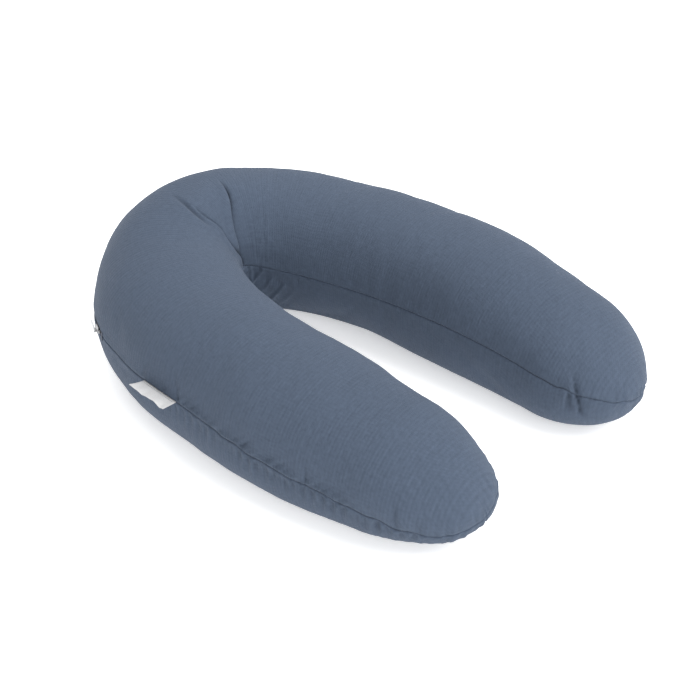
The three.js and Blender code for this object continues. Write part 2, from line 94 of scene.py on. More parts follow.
def stations(s):
    """Cross-section values at signed spine distances s, as a dict of arrays."""
    s = np.asarray(s, float)
    out = {k: np.zeros(len(s)) for k in ("x", "y", "nx", "ny", "w", "wo", "h", "e", "zm", "qo", "qi")}
    eq = spline(EQUATOR)
    for side in (-1, 1):
        m = (s < 0) if side < 0 else (s >= 0)
        if not m.any():
            continue
        A = ARM[side]
        n, L = 2000, A["length"]
        ds = L / n
        kc = spline(A["curv"])((np.arange(n) + 0.5) / n) / 1000
        th = np.concatenate([[0], np.cumsum(kc * ds)])
        mid = (th[1:] + th[:-1]) / 2
        X = np.concatenate([[0], np.cumsum(side * np.cos(mid) * ds)])
        Y = np.concatenate([[0], np.cumsum(-np.sin(mid) * ds)])
        q = np.abs(s[m])
        g = np.linspace(0, L, n + 1)
        t = q / L
        thm = np.interp(q, g, th)
        x, y = np.interp(q, g, X), np.interp(q, g, Y)
        nx, ny = side * np.sin(thm), np.cos(thm)
        w, h = spline(A["half"])(t), spline(A["crown"])(t)
        zm = eq(t) * h
        tt = np.clip((q - (L - A["cap"])) / A["cap"], 0, 1)
        e = np.sqrt(np.maximum(1 - tt**TIP_POWER, 0))
        qo, qi = spline(A["qo"])(t), spline(A["qi"])(t)
        k = 1 - smooth((q - ZIP_S - 4) / (ZIP_BLEND - ZIP_S - 4))
        by = y - ZIP_CY
        b = x * nx + by * ny
        reach = -b + np.sqrt(np.maximum(b * b - (x * x + by * by - ZIP_R**2), 0))
        qt = np.where(zm >= ZIP_Z, (zm - ZIP_Z) / zm, (zm - ZIP_Z) / (h - zm))
        us = np.where(
            qt >= 0,
            np.maximum(1 - np.abs(qt) ** LOW_D, 1e-6) ** (1 / LOW_C),
            np.maximum(1 - np.abs(qt) ** TOP_B, 1e-6) ** (1 / TOP_A),
        )
        wo = w + k * (np.clip(reach / us, w - 4, w + 4) - w)
        qo = qo + k * (qt - qo)
        for name, v in dict(x=x, y=y, nx=nx, ny=ny, w=w, wo=wo, h=h, e=e, zm=zm, qo=qo, qi=qi).items():
            out[name][m] = v
    return out


def rings(s):
    st = stations(s)
    a = 2 * np.pi * np.arange(RING + 1) / RING
    U = np.cos(a)
    au = np.minimum(np.abs(U), 1)

    def c(k):
        return st[k][:, None]

    r = np.where(U > 0, c("wo"), c("w")) * c("e") * U
    up = c("zm") + (c("h") - c("zm")) * c("e") * np.maximum(1 - au**TOP_A, 0) ** (1 / TOP_B)
    lo = c("zm") - c("zm") * c("e") ** 0.8 * np.maximum(1 - au**LOW_C, 0) ** (1 / LOW_D)
    z = np.where(np.arange(RING + 1) <= RING // 2, up, lo)
    z = np.where(z < c("zm"), np.maximum(0, (z - FLOOR_FLAT) * c("zm") / (c("zm") - FLOOR_FLAT)), z)
    seg = np.hypot(np.diff(r, axis=1), np.diff(z, axis=1))
    ln = np.concatenate([np.zeros((len(r), 1)), np.cumsum(seg, 1)], 1)
    tot = ln[:, -1]

    def ang(q):
        low = -np.arccos(np.maximum(1 - np.abs(q) ** LOW_D, 0) ** (1 / LOW_C))
        top = np.arccos(np.maximum(1 - np.abs(q) ** TOP_B, 0) ** (1 / TOP_A))
        return np.where(q >= 0, low, top)

    def at(x):
        u = (x / (2 * np.pi)) % 1 * RING
        return np.array([np.interp(u[i], np.arange(RING + 1), ln[i]) for i in range(len(u))])

    out = at(ang(st["qo"]))
    out = np.where(out > tot / 2, out - tot, out)
    return dict(s=np.asarray(s, float), st=st, r=r, z=z, len=ln, total=tot, out=out, inn=at(np.pi - ang(st["qi"])))


def points(R, L):
    """Surface points for arc lengths L (stations x columns), in the row frame."""
    st = R["st"]
    P, rr = np.zeros(L.shape + (3,)), np.zeros(L.shape)
    for i in range(len(L)):
        l = L[i] % R["total"][i]
        rr[i] = np.interp(l, R["len"][i], R["r"][i])
        P[i, :, 2] = np.interp(l, R["len"][i], R["z"][i])
    P[..., 0] = st["x"][:, None] + st["nx"][:, None] * rr - MID[0]
    P[..., 1] = st["y"][:, None] + st["ny"][:, None] * rr - MID[1]
    return P


def unit(v):
    return v / np.maximum(np.linalg.norm(v, axis=-1, keepdims=True), 1e-12)


# ---- rows and columns of the cloth grid -----------------------------------------------------
def arm_rows(side, fine, coarse, fine_to, tip_steps):
    """Spine distances from just beside the middle of the back to near the tip."""
    A = ARM[side]
    body = A["length"] - A["cap"]
    q, rows = 0.0, []
    while q < body - coarse * 0.6:
        q += fine if q < fine_to else min(coarse, fine + (q - fine_to) * 0.06)
        rows.append(q)
    ph = np.linspace(0, np.pi / 2, 3001)
    tt = np.sin(ph) ** (2 / TIP_POWER)
    x, y = A["cap"] * tt, A["half"][-1] * np.cos(ph)
    run = np.concatenate([[0], np.cumsum(np.hypot(np.diff(x), np.diff(y)))])
    left = run[-1] - run
    want = list(tip_steps)
    while want[-1] + coarse < run[-1] - coarse * 0.5:
        want.append(want[-1] + coarse)
    cap = [body + float(np.interp(-d, -left, x)) for d in want]
    rows = [v for v in rows if v < min(cap) - coarse * 0.4]
    return rows + sorted(cap)


def columns(edge, spans, reach):
    """(a, b) pairs: arc = a * c + b * (length - 2 * reach * c). spans: (from, to, spacing share)."""
    a, b = list(edge), [0.0] * len(edge)
    for lo, hi, n in spans:
        for k in range(1, n + 1):
            a.append(reach)
            b.append(lo + (hi - lo) * k / n)
    a += [2 * reach - e for e in edge[::-1][1:]]
    b += [1.0] * (len(edge) - 1)
    return np.array(a), np.array(b)


EDGE = [0.0, 0.25, 0.6, 1.05, 1.6, 2.3, 3.2, 4.5, 6.2, 8.5, 11.5]
TIPS = [0.4, 0.9, 1.5, 2.2, 3.1, 4.3, 5.8, 7.6, 10.0]
ROWS_L = arm_rows(-1, 1.0, 3.2, 96, TIPS)
ROWS_R = arm_rows(1, 1.0, 3.2, 70, TIPS)
S = np.array([-q for q in ROWS_L[::-1]] + [0.0] + ROWS_R)
ZERO = len(ROWS_L)
R = rings(S)
TOP_COLS = columns(EDGE, [(0.0, 0.46, 40), (0.46, 1.0, 128)], EDGE[-1])
LOW_COLS = columns(EDGE, [(0.0, 0.3, 46), (0.3, 1.0, 60)], EDGE[-1])

ZIP_HALF = 4.6  # half of the width left open over the zipper


def opening(s):
    return ZIP_HALF * (1 - smooth((np.abs(s) - (ZIP_S - 1)) / 4.0))


def arcs(R, top, cols, open_=True):
    half = opening(R["s"]) if open_ else 0 * R["s"]
    lo = R["out"] + half if top else R["inn"]
    hi = R["inn"] if top else R["out"] + R["total"] - half
    length = hi - lo
    c = np.minimum(1, length / 60)
    a, b = cols
    return lo[:, None] + a * c[:, None] + b * (length - 2 * EDGE[-1] * c)[:, None]


def tip(side, R=None):
    A = ARM[side]
    st = stations(np.array([side * A["length"] * (1 - 1e-9)]))
    return np.array([st["x"][0] - MID[0], st["y"][0] - MID[1], st["zm"][0]])


TIP_L, TIP_R = tip(-1), tip(1)


def grid_normals(P, a, b, out=1.0):
    """Vertex normals of an open grid P (rows x columns) closed by the poles a and b."""
    F = np.cross(P[1:, 1:] - P[:-1, :-1], P[1:, :-1] - P[:-1, 1:])
    N = np.zeros_like(P)
    N[:-1, :-1] += F
    N[1:, :-1] += F
    N[:-1, 1:] += F
    N[1:, 1:] += F
    fa = np.cross(P[0, 1:] - a, P[0, :-1] - a)
    N[0, :-1] += fa
    N[0, 1:] += fa
    fb = np.cross(P[-1, :-1] - b, P[-1, 1:] - b)
    N[-1, :-1] += fb
    N[-1, 1:] += fb
    return unit(N) * out, unit(fa.sum(0)) * out, unit(fb.sum(0)) * out


L_TOP, L_LOW = arcs(R, True, TOP_COLS), arcs(R, False, LOW_COLS)
P_TOP, P_LOW = points(R, L_TOP), points(R, L_LOW)
N_TOP, na, nb = grid_normals(P_TOP, TIP_L, TIP_R)
N_LOW, ma, mb = grid_normals(P_LOW, TIP_L, TIP_R)
sign = 1.0 if N_TOP[ZERO, len(TOP_COLS[0]) // 2, 2] > 0 else -1.0
N_TOP, N_LOW, na, nb, ma, mb = (sign * v for v in (N_TOP, N_LOW, na, nb, ma, mb))
mean_in, mean_out = unit(N_TOP[:, -1] + N_LOW[:, 0]), unit(N_TOP[:, 0] + N_LOW[:, -1])
N_TOP[:, -1] = N_LOW[:, 0] = mean_in
N_TOP[:, 0] = N_LOW[:, -1] = mean_out
n_tip = [unit(na + ma), unit(nb + mb)]

# ---- seam line -----------------------------------------------------------------------------
HALF_OPEN = opening(S)
seam_out = points(R, R["out"][:, None])[:, 0]
seam_in = points(R, R["inn"][:, None])[:, 0]
loop = np.concatenate([[TIP_L], seam_out, [TIP_R], seam_in[::-1], [TIP_L]])
loop_s = np.concatenate([[-ARM[-1]["length"]], S, [ARM[1]["length"]], S[::-1], [-ARM[-1]["length"]]])
loop_side = np.concatenate([[0], np.ones(len(S)), [0], -np.ones(len(S)), [0]])
run = np.concatenate([[0], np.cumsum(np.linalg.norm(np.diff(loop, axis=0), axis=1))])
SEAM = run[-1]
tt = np.arange(0, SEAM, 0.5)
seam_pts = np.stack([np.interp(tt, run, loop[:, k]) for k in range(3)], 1)
seam_s = np.interp(tt, run, loop_s)
seam_side = np.interp(tt, run, loop_side)
kd = KDTree(len(seam_pts))
for i, p in enumerate(seam_pts):
    kd.insert(p, i)
kd.balance()


def seam_of(P, R_, half):
    """Distance from the seam line and place along it, for the grid's vertices within 75 mm of it."""
    near = half < 75
    d, t = np.full(half.shape, 75.0), np.zeros(half.shape)
    idx = np.argwhere(near)
    for i, j in idx:
        _, k, dist = kd.find(P[i, j])
        d[i, j], t[i, j] = dist, k
    return d, t.astype(int)


def edge_distance(L, R_, top):
    lo = R_["out"] if top else R_["inn"]
    hi = R_["inn"] if top else R_["out"] + R_["total"]
    return np.minimum(L - lo[:, None], hi[:, None] - L)


rng = np.random.RandomState(11)


def waves(t, parts):
    """Sum of seeded sine waves of place t (mm): parts are (wavelength, weight)."""
    v = np.zeros(np.shape(t))
    for wl, wt in parts:
        for k in range(3):
            v = v + wt * np.sin(2 * np.pi * t / (wl * (0.8 + 0.4 * rng.rand())) + 2 * np.pi * rng.rand())
    return v / 3


# puckers along the seam: strong at both tips and the tight inner bend, faint elsewhere
pucker_line = waves(tt, [(17, 1.0), (11, 0.6), (27, 0.7)])
fine_line = waves(tt, [(6.5, 1.0), (9.5, 0.8)])
tip_gap = np.minimum(
    np.where(seam_s < 0, ARM[-1]["length"] + seam_s, 1e9), np.where(seam_s >= 0, ARM[1]["length"] - seam_s, 1e9)
)
strong = 1 - smooth(tip_gap / 75)
inner_bend = np.where(seam_side < 0, 1 - smooth((np.abs(seam_s - 20) - 60) / 110), 0)
amp_low = 0.16 + 1.0 * strong + 0.45 * inner_bend
amp_up = 0.13 + 1.05 * strong + 0.2 * inner_bend
near_run = (seam_side > 0) * smooth((-seam_s - 270) / 50)
amp_low = amp_low + 0.4 * near_run
amp_up = amp_up + 0.42 * near_run

# gathers that hang from the near seam, and the small ones above it; a few at the tips
comb = waves(tt, [(13, 1.0), (9.5, 0.7)])
comb = np.maximum(comb - 0.1, -0.55)
tight = near_run * (0.7 + 0.3 * smooth((-seam_s - 400) / 60)) * (0.3 + 0.7 * smooth((655 + seam_s) / 50))
gather_low = comb * (3.2 * tight + 0.45 * strong)
gather_up = waves(tt, [(15, 1.0), (10, 0.8)]) * (2.3 * near_run * smooth((600 + seam_s) / 90) + 0.4 * strong)
# the near seam wanders a little up and down along its way
sway = waves(tt, [(62, 1.0), (34, 0.8)]) * 1.9 * (seam_side > 0) * smooth((-seam_s - 350) / 50) * smooth((668 + seam_s) / 30)
sway = sway + waves(tt, [(40, 1.0), (23, 0.8)]) * 1.3 * smooth((seam_s - 600) / 30)
# at the left arm's end the seam sags towards the floor
droop = -8.5 * smooth((-seam_s - 590) / 75)

seam_step = float(tt[1] - tt[0])
to_tip = -np.sign(np.gradient(seam_s))


def slant(t, dist):
    """Place along the seam read with a lean towards the arm's end, for the wrinkles above the seam."""
    k = t - np.rint(to_tip[t] * dist * 0.9 / seam_step).astype(int)
    return np.clip(k, 0, len(tt) - 1)


def seam_field(P, N, d, t, top, half):
    """Offset along the normal: the sunk seam with rounded lips and its puckers."""
    dist = np.maximum(d - half, 0)
    w = 2.5 if top else 2.2
    depth = 2.15
    u = np.clip(1 - dist / w, 0, 1)
    off = -depth * (1 - np.sqrt(np.maximum(1 - u * u, 0)))
    amp = (amp_up if top else amp_low)[t]
    off += amp * pucker_line[t] * np.exp(-dist / 13.0) * smooth(dist / 3.0)
    off += 0.35 * amp * fine_line[t] * np.exp(-dist / 5.5) * smooth(dist / 1.6)
    off += (0.3 if top else 0.3) * np.exp(-(((dist - 3.8) / 3.2) ** 2)) * smooth(dist / 2.0)
    if top:
        hang = gather_up[slant(t, dist)] * np.exp(-((dist / 15.0) ** 2))
    else:
        hang = gather_low[t] * np.exp(-((dist / 27.0) ** 2))
    off += hang * smooth((dist - 1.0) / 5.0)
    return np.where(d < 74.9, off, 0)


# ---- creases -------------------------------------------------------------------------------
def line_points(sf, top):
    s = np.array([v[0] for v in sf], float)
    order = np.argsort(s)
    Rk = rings(s[order])
    lo = Rk["out"] if top else Rk["inn"]
    hi = Rk["inn"] if top else Rk["out"] + Rk["total"]
    f = np.array([v[1] for v in sf], float)[order]
    P = points(Rk, (lo + (hi - lo) * f)[:, None])[:, 0]
    back = np.empty_like(P)
    back[order] = P
    return back


def dense(P, values, step=0.5):
    """Catmull-Rom curve through P, with values carried along; evenly spaced."""
    Q = np.concatenate([[2 * P[0] - P[1]], P, [2 * P[-1] - P[-2]]])
    out, par = [], []
    for i in range(1, len(Q) - 2):
        for k in np.linspace(0, 1, 24, endpoint=False):
            a, b, c, d = Q[i - 1], Q[i], Q[i + 1], Q[i + 2]
            out.append(0.5 * (2 * b + (c - a) * k + (2 * a - 5 * b + 4 * c - d) * k**2 + (3 * b - 3 * c + d - a) * k**3))
            par.append(i - 1 + k)
    out.append(P[-1])
    par.append(len(P) - 1)
    out, par = np.array(out), np.array(par)
    g = np.concatenate([[0], np.cumsum(np.linalg.norm(np.diff(out, axis=0), axis=1))])
    u = np.arange(0, g[-1], step)
    pts = np.stack([np.interp(u, g, out[:, k]) for k in range(3)], 1)
    pu = np.interp(u, g, par)
    vals = [np.interp(pu, np.arange(len(P)), v) for v in values]
    return pts, vals, g[-1]


def crease(P, N, sf, top, depth, near=2.0, far=6.0, lip=0.0, over=0.0, lip_at=5.0, flip=1.0, fade=6.0, power=1.5, power_far=1.15, shade_paint=0.0, shade_paint_at=0.0, shade_paint_width=1.3):
    """Sinks a line into the cloth. depth, lip and over are lists, one value for each point of sf.
    The side with the lip rolls over the line by over; near and far are the widths of the two slopes."""
    n = len(sf)
    lip = [lip] * n if np.isscalar(lip) else lip
    over = [over] * n if np.isscalar(over) else over
    depth = [depth] * n if np.isscalar(depth) else depth
    shade_paint = [shade_paint] * n if np.isscalar(shade_paint) else shade_paint
    pts, (dv, lv, ov, tv), length = dense(line_points(sf, top), [depth, lip, over, shade_paint])
    T = unit(np.gradient(pts, axis=0))
    tree = KDTree(len(pts))
    for i, p in enumerate(pts):
        tree.insert(p, i)
    tree.balance()
    lo, hi = pts.min(0) - 30, pts.max(0) + 30
    pick = np.argwhere(((P > lo) & (P < hi)).all(-1))
    if not len(pick):
        return
    k = np.array([tree.find(P[i, j])[1] for i, j in pick])
    p, nn = P[pick[:, 0], pick[:, 1]], N[pick[:, 0], pick[:, 1]]
    rel = p - pts[k]
    side = unit(np.cross(nn, T[k])) * flip
    d = (rel * side).sum(1)
    along = np.abs((rel * T[k]).sum(1))
    soft = np.exp(-((along / fade) ** 2))
    good = np.linalg.norm(rel, axis=1) < 30
    slope = np.where(d < 0, np.exp(-((np.abs(d) / near) ** power)), np.exp(-((np.abs(d) / far) ** power_far)))
    off = -dv[k] * slope + lv[k] * np.exp(-(((d + lip_at) / (0.85 * lip_at)) ** 2))
    shift = ov[k] * np.exp(-(((d + 3.6) / 3.4) ** 2))
    move = nn * (off * soft * good)[:, None] + side * (shift * soft * good)[:, None]
    np.add.at(MOVE[top], (pick[:, 0], pick[:, 1]), move)
    # painted shade: the cloth's colour darkens beside the line, where the fold's shade falls
    if max(shade_paint) > 0:
        ends_soft = np.exp(-((along / 1.5) ** 2))
        v = tv[k] * np.exp(-(((d - shade_paint_at) / shade_paint_width) ** 2)) * ends_soft * good
        np.maximum.at(PAINTED_SHADE_MAP[top], (pick[:, 0], pick[:, 1]), v)


# painted shade: how deep in a fold or a gather's hollow each vertex lies, 0 to 1, darkening the cloth's colour where
# shade falls
PAINTED_SHADE_MAP = {True: np.zeros(P_TOP.shape[:2]), False: np.zeros(P_LOW.shape[:2])}
MOVE = {True: np.zeros_like(P_TOP), False: np.zeros_like(P_LOW)}

d_top, t_top = seam_of(P_TOP, R, edge_distance(L_TOP, R, True))
d_low, t_low = seam_of(P_LOW, R, edge_distance(L_LOW, R, False))


def half_open(t):
    """Half of the zipper opening at each vertex's place along the seam."""
    return np.where(seam_side[t] > 0, opening(seam_s[t]), 0)


H_TOP, H_LOW = half_open(t_top), half_open(t_low)
MOVE[True] += N_TOP * seam_field(P_TOP, N_TOP, d_top, t_top, True, H_TOP)[..., None]
MOVE[False] += N_LOW * seam_field(P_LOW, N_LOW, d_low, t_low, False, H_LOW)[..., None]

MOVE[True][..., 2] += np.where(d_top < 74.9, sway[t_top] * np.exp(-((d_top / 11) ** 2)), 0)
MOVE[False][..., 2] += np.where(d_low < 74.9, sway[t_low] * np.exp(-((d_low / 11) ** 2)), 0)
MOVE[True][..., 2] += np.where(d_top < 74.9, droop[t_top] * np.exp(-((d_top / 33) ** 2)), 0)
MOVE[False][..., 2] += np.where(d_low < 74.9, droop[t_low] * np.exp(-((d_low / 33) ** 2)), 0)
# painted shade darkens the hollows between the gathers along the near seam, and faintly at the tips
hollow_shade_up = smooth(-gather_up[slant(t_top, d_top)] / 1.2) * 0.15 * near_run[t_top]
PAINTED_SHADE_MAP[True] = np.where(d_top < 74.9, hollow_shade_up * np.exp(-((d_top / 14) ** 2)) * smooth((d_top - 1) / 4), 0)
hollow_shade = smooth(-comb[t_low] / 0.5) * (0.24 * tight + 0.05 * strong)[t_low]
PAINTED_SHADE_MAP[False] = np.where(d_low < 74.9, hollow_shade * np.exp(-((d_low / 22) ** 2)) * smooth((d_low - 1) / 4), 0)

# the deep fold at the back of the U, where the near side's cloth rolls over the far side's, with painted shade along
# its groove
FOLD_A = [
    (32.4, 0.54), (33.2, 0.593), (30.0, 0.652), (21.2, 0.705), (7.2, 0.753), (-4.4, 0.79),
    (-17.6, 0.835), (-22.8, 0.875), (-20.4, 0.92), (-15.6, 0.955), (-5.2, 0.99),
]
crease(
    P_TOP, N_TOP, FOLD_A, True,
    depth=[0.0, 2.0, 6.2, 9.5, 11.0, 12.0, 13.0, 13.5, 12.0, 8.5, 4.5], near=1.5, far=4.6,
    lip=[0.2, 0.8, 1.6, 2.2, 2.5, 2.7, 2.8, 2.6, 2.0, 1.3, 0.4],
    over=[0, 0.4, 2.2, 3.8, 4.8, 5.4, 5.8, 5.6, 4.6, 2.8, 0.8], lip_at=5.5, flip=1.0,
    shade_paint=[0.0, 0.25, 0.62, 0.72, 0.74, 0.76, 0.8, 0.84, 0.84, 0.75, 0.5], shade_paint_width=2.5, shade_paint_at=1.6,
)
# two softer folds near it, also with painted shade along their grooves
FOLD_B = [(-38.0, 0.487), (-46.4, 0.527), (-57.6, 0.585), (-68.0, 0.633), (-76.4, 0.68), (-80.0, 0.72)]
crease(P_TOP, N_TOP, FOLD_B, True, depth=[0.0, 1.4, 3.4, 3.6, 2.4, 0.3], near=3.6, far=3.6, lip=[0, 0.1, 0.3, 0.4, 0.3, 0.1], lip_at=9.0, flip=1.0, power=2.0, power_far=2.0, shade_paint=[0, 0.2, 0.36, 0.32, 0.2, 0.0], shade_paint_width=2.6)
FOLD_C = [
    (-51.2, 0.603), (-58.4, 0.642), (-62.4, 0.69), (-60.4, 0.74), (-60.8, 0.78), (-66.4, 0.815),
    (-62.8, 0.87), (-42.0, 0.917), (-21.2, 0.958),
]
crease(P_TOP, N_TOP, FOLD_C, True, depth=[0.0, 2.4, 4.2, 5.2, 5.6, 5.8, 5.6, 4.6, 3.0], near=1.8, far=3.0, lip=[0, 0.4, 0.9, 1.1, 1.1, 1.0, 0.8, 0.5, 0.2], over=[0, 0.3, 1.4, 2.2, 2.6, 2.8, 2.4, 1.4, 0.5], lip_at=6.0, flip=1.0, shade_paint=[0, 0.12, 0.22, 0.3, 0.4, 0.46, 0.5, 0.5, 0.4], shade_paint_width=2.3, shade_paint_at=1.0)

# pleats in the inner wall under the fold
for sf, h in [
    ([(36.0, 0.012), (22.0, 0.026), (9.6, 0.04)], 1.6),
    ([(86.0, 0.02), (70.8, 0.045), (50.8, 0.075), (36.0, 0.1)], 2.2),
    ([(147.0, 0.07), (130.0, 0.115), (111.6, 0.16), (96.0, 0.2)], 2.0),
    ([(166.0, 0.1), (152.0, 0.138), (138.0, 0.173), (124.0, 0.21)], 1.3),
    ([(118.0, 0.045), (100.0, 0.085), (82.0, 0.125)], 1.2),
    ([(-30.0, 0.03), (-22.0, 0.06), (-16.0, 0.11)], 1.8),
    ([(-70.0, 0.03), (-58.0, 0.07), (-48.0, 0.12)], 1.5),
    ([(-120.0, 0.05), (-104.0, 0.09), (-90.0, 0.14)], 1.1),
]:
    m = len(sf)
    crease(P_LOW, N_LOW, sf, False, depth=[-1.5 * h * v for v in np.sin(np.linspace(0.5, math.pi - 0.3, m))], near=1.7, far=1.7, lip=[-0.5 * h] * m, lip_at=5.0, fade=5.0, power=1.4)
    crease(P_LOW, N_LOW, sf, False, depth=0.0, near=2, far=2, lip=[-0.5 * h] * m, lip_at=5.0, fade=5.0, flip=-1.0)

# puckers and short wrinkles at the tips and along the near seam, with painted shade in their grooves
for sf, top, dep in [
    ([(641.0, 0.88), (648.0, 0.945), (652.0, 0.985)], True, [0.2, 2.0, 3.0]),
    ([(654.0, 0.012), (657.0, 0.05), (659.0, 0.1), (661.0, 0.14)], False, [3.4, 3.4, 2.6, 0.2]),
    ([(646.0, 0.02), (647.0, 0.07), (646.0, 0.12)], False, [2.6, 2.4, 0.2]),
    ([(680.0, 0.80), (686.0, 0.93), (689.0, 0.98)], True, [0.1, 0.9, 1.2]),
    ([(690.0, 0.03), (688.0, 0.1)], False, [1.2, 0.2]),
    ([(-684.6, 0.06), (-683.8, 0.2), (-680.5, 0.36)], True, [0.7, 0.6, 0.1]),
    ([(-684.4, 0.92), (-682.0, 0.84), (-677.0, 0.74)], False, [0.9, 0.7, 0.1]),
    ([(-622.0, 0.02), (-620.0, 0.09), (-616.0, 0.16)], True, [1.6, 1.4, 0.1]),
    ([(-514.0, 0.02), (-513.0, 0.07), (-510.0, 0.12)], True, [1.2, 1.0, 0.1]),
    ([(-556.0, 0.015), (-555.0, 0.06)], True, [0.9, 0.1]),
    ([(-646.0, 0.03), (-642.0, 0.12)], True, [1.2, 0.1]),
    ([(-640.0, 0.985), (-634.0, 0.92), (-628.0, 0.86)], False, [1.5, 1.0, 0.1]),
    ([(-600.0, 0.985), (-598.0, 0.93), (-596.0, 0.88)], False, [1.1, 0.8, 0.1]),
    ([(-458.0, 0.985), (-456.0, 0.94)], False, [1.0, 0.1]),
    ([(-393.0, 0.985), (-391.0, 0.93)], False, [1.1, 0.1]),
    ([(-372.0, 0.985), (-369.0, 0.94)], False, [0.9, 0.1]),
    ([(-337.0, 0.985), (-334.0, 0.95)], False, [1.0, 0.1]),
    ([(-332.0, 0.015), (-326.0, 0.07), (-318.0, 0.12)], True, [1.2, 0.9, 0.1]),
    ([(-272.0, 0.015), (-275.0, 0.06), (-281.0, 0.1)], True, [1.1, 0.8, 0.1]),
]:
    Pn, Nn = (P_TOP, N_TOP) if top else (P_LOW, N_LOW)
    crease(Pn, Nn, sf, top, depth=[1.6 * v for v in dep], near=2.4, far=2.4, lip=[0.4 * max(v, 0.2) for v in dep], lip_at=6.0, fade=4.0, power=1.6, shade_paint=[min(0.17 * v, 0.5) for v in dep], shade_paint_width=1.7)


def lumps(P, N, gain, seed):
    """Low soft unevenness of the loose filling under the cloth."""
    r = np.random.RandomState(seed)
    v = np.zeros(P.shape[:2])
    for wl, wt, n in ((150, 0.8, 5), (70, 0.42, 7), (34, 0.15, 9)):
        for _ in range(n):
            k = unit(r.randn(3)) * 2 * np.pi / (wl * (0.75 + 0.5 * r.rand()))
            v += wt / math.sqrt(n) * np.sin(P @ k + 2 * np.pi * r.rand())
    return v * gain


base_top, base_low = lumps(P_TOP, N_TOP, 0.9, 5), lumps(P_LOW, N_LOW, 0.9, 5)
# soft wrinkles that fan out from the tight inner bend
share = (L_TOP - R["out"][:, None]) / (R["inn"] - R["out"])[:, None]
fan = waves(S, [(14, 1.0), (22, 0.9), (9, 0.5)])
reach = np.exp(-(((S - 95) / 75) ** 2)) + 0.25 * np.exp(-(((S + 130) / 50) ** 2))
fan_top = 0.16 * (fan * reach)[:, None] * smooth((share - 0.45) / 0.2) * smooth((1.0 - share) / 0.06)
share_low = (L_LOW - R["inn"][:, None]) / (R["out"] + R["total"] - R["inn"])[:, None]
fan_low = 0.5 * (waves(S, [(24, 1.0), (37, 0.9)]) * np.exp(-(((S - 60) / 150) ** 2)))[:, None] * smooth(share_low / 0.03) * smooth((0.3 - share_low) / 0.15)
# the underside stays on the floor
rest_low = smooth(P_LOW[..., 2] / 30)
MOVE[True] += N_TOP * (base_top * smooth(d_top / 12) + fan_top)[..., None]
MOVE[False] += N_LOW * (fan_low * rest_low)[..., None]
MOVE[False] += N_LOW * (base_low * smooth(d_low / 12) * rest_low)[..., None]


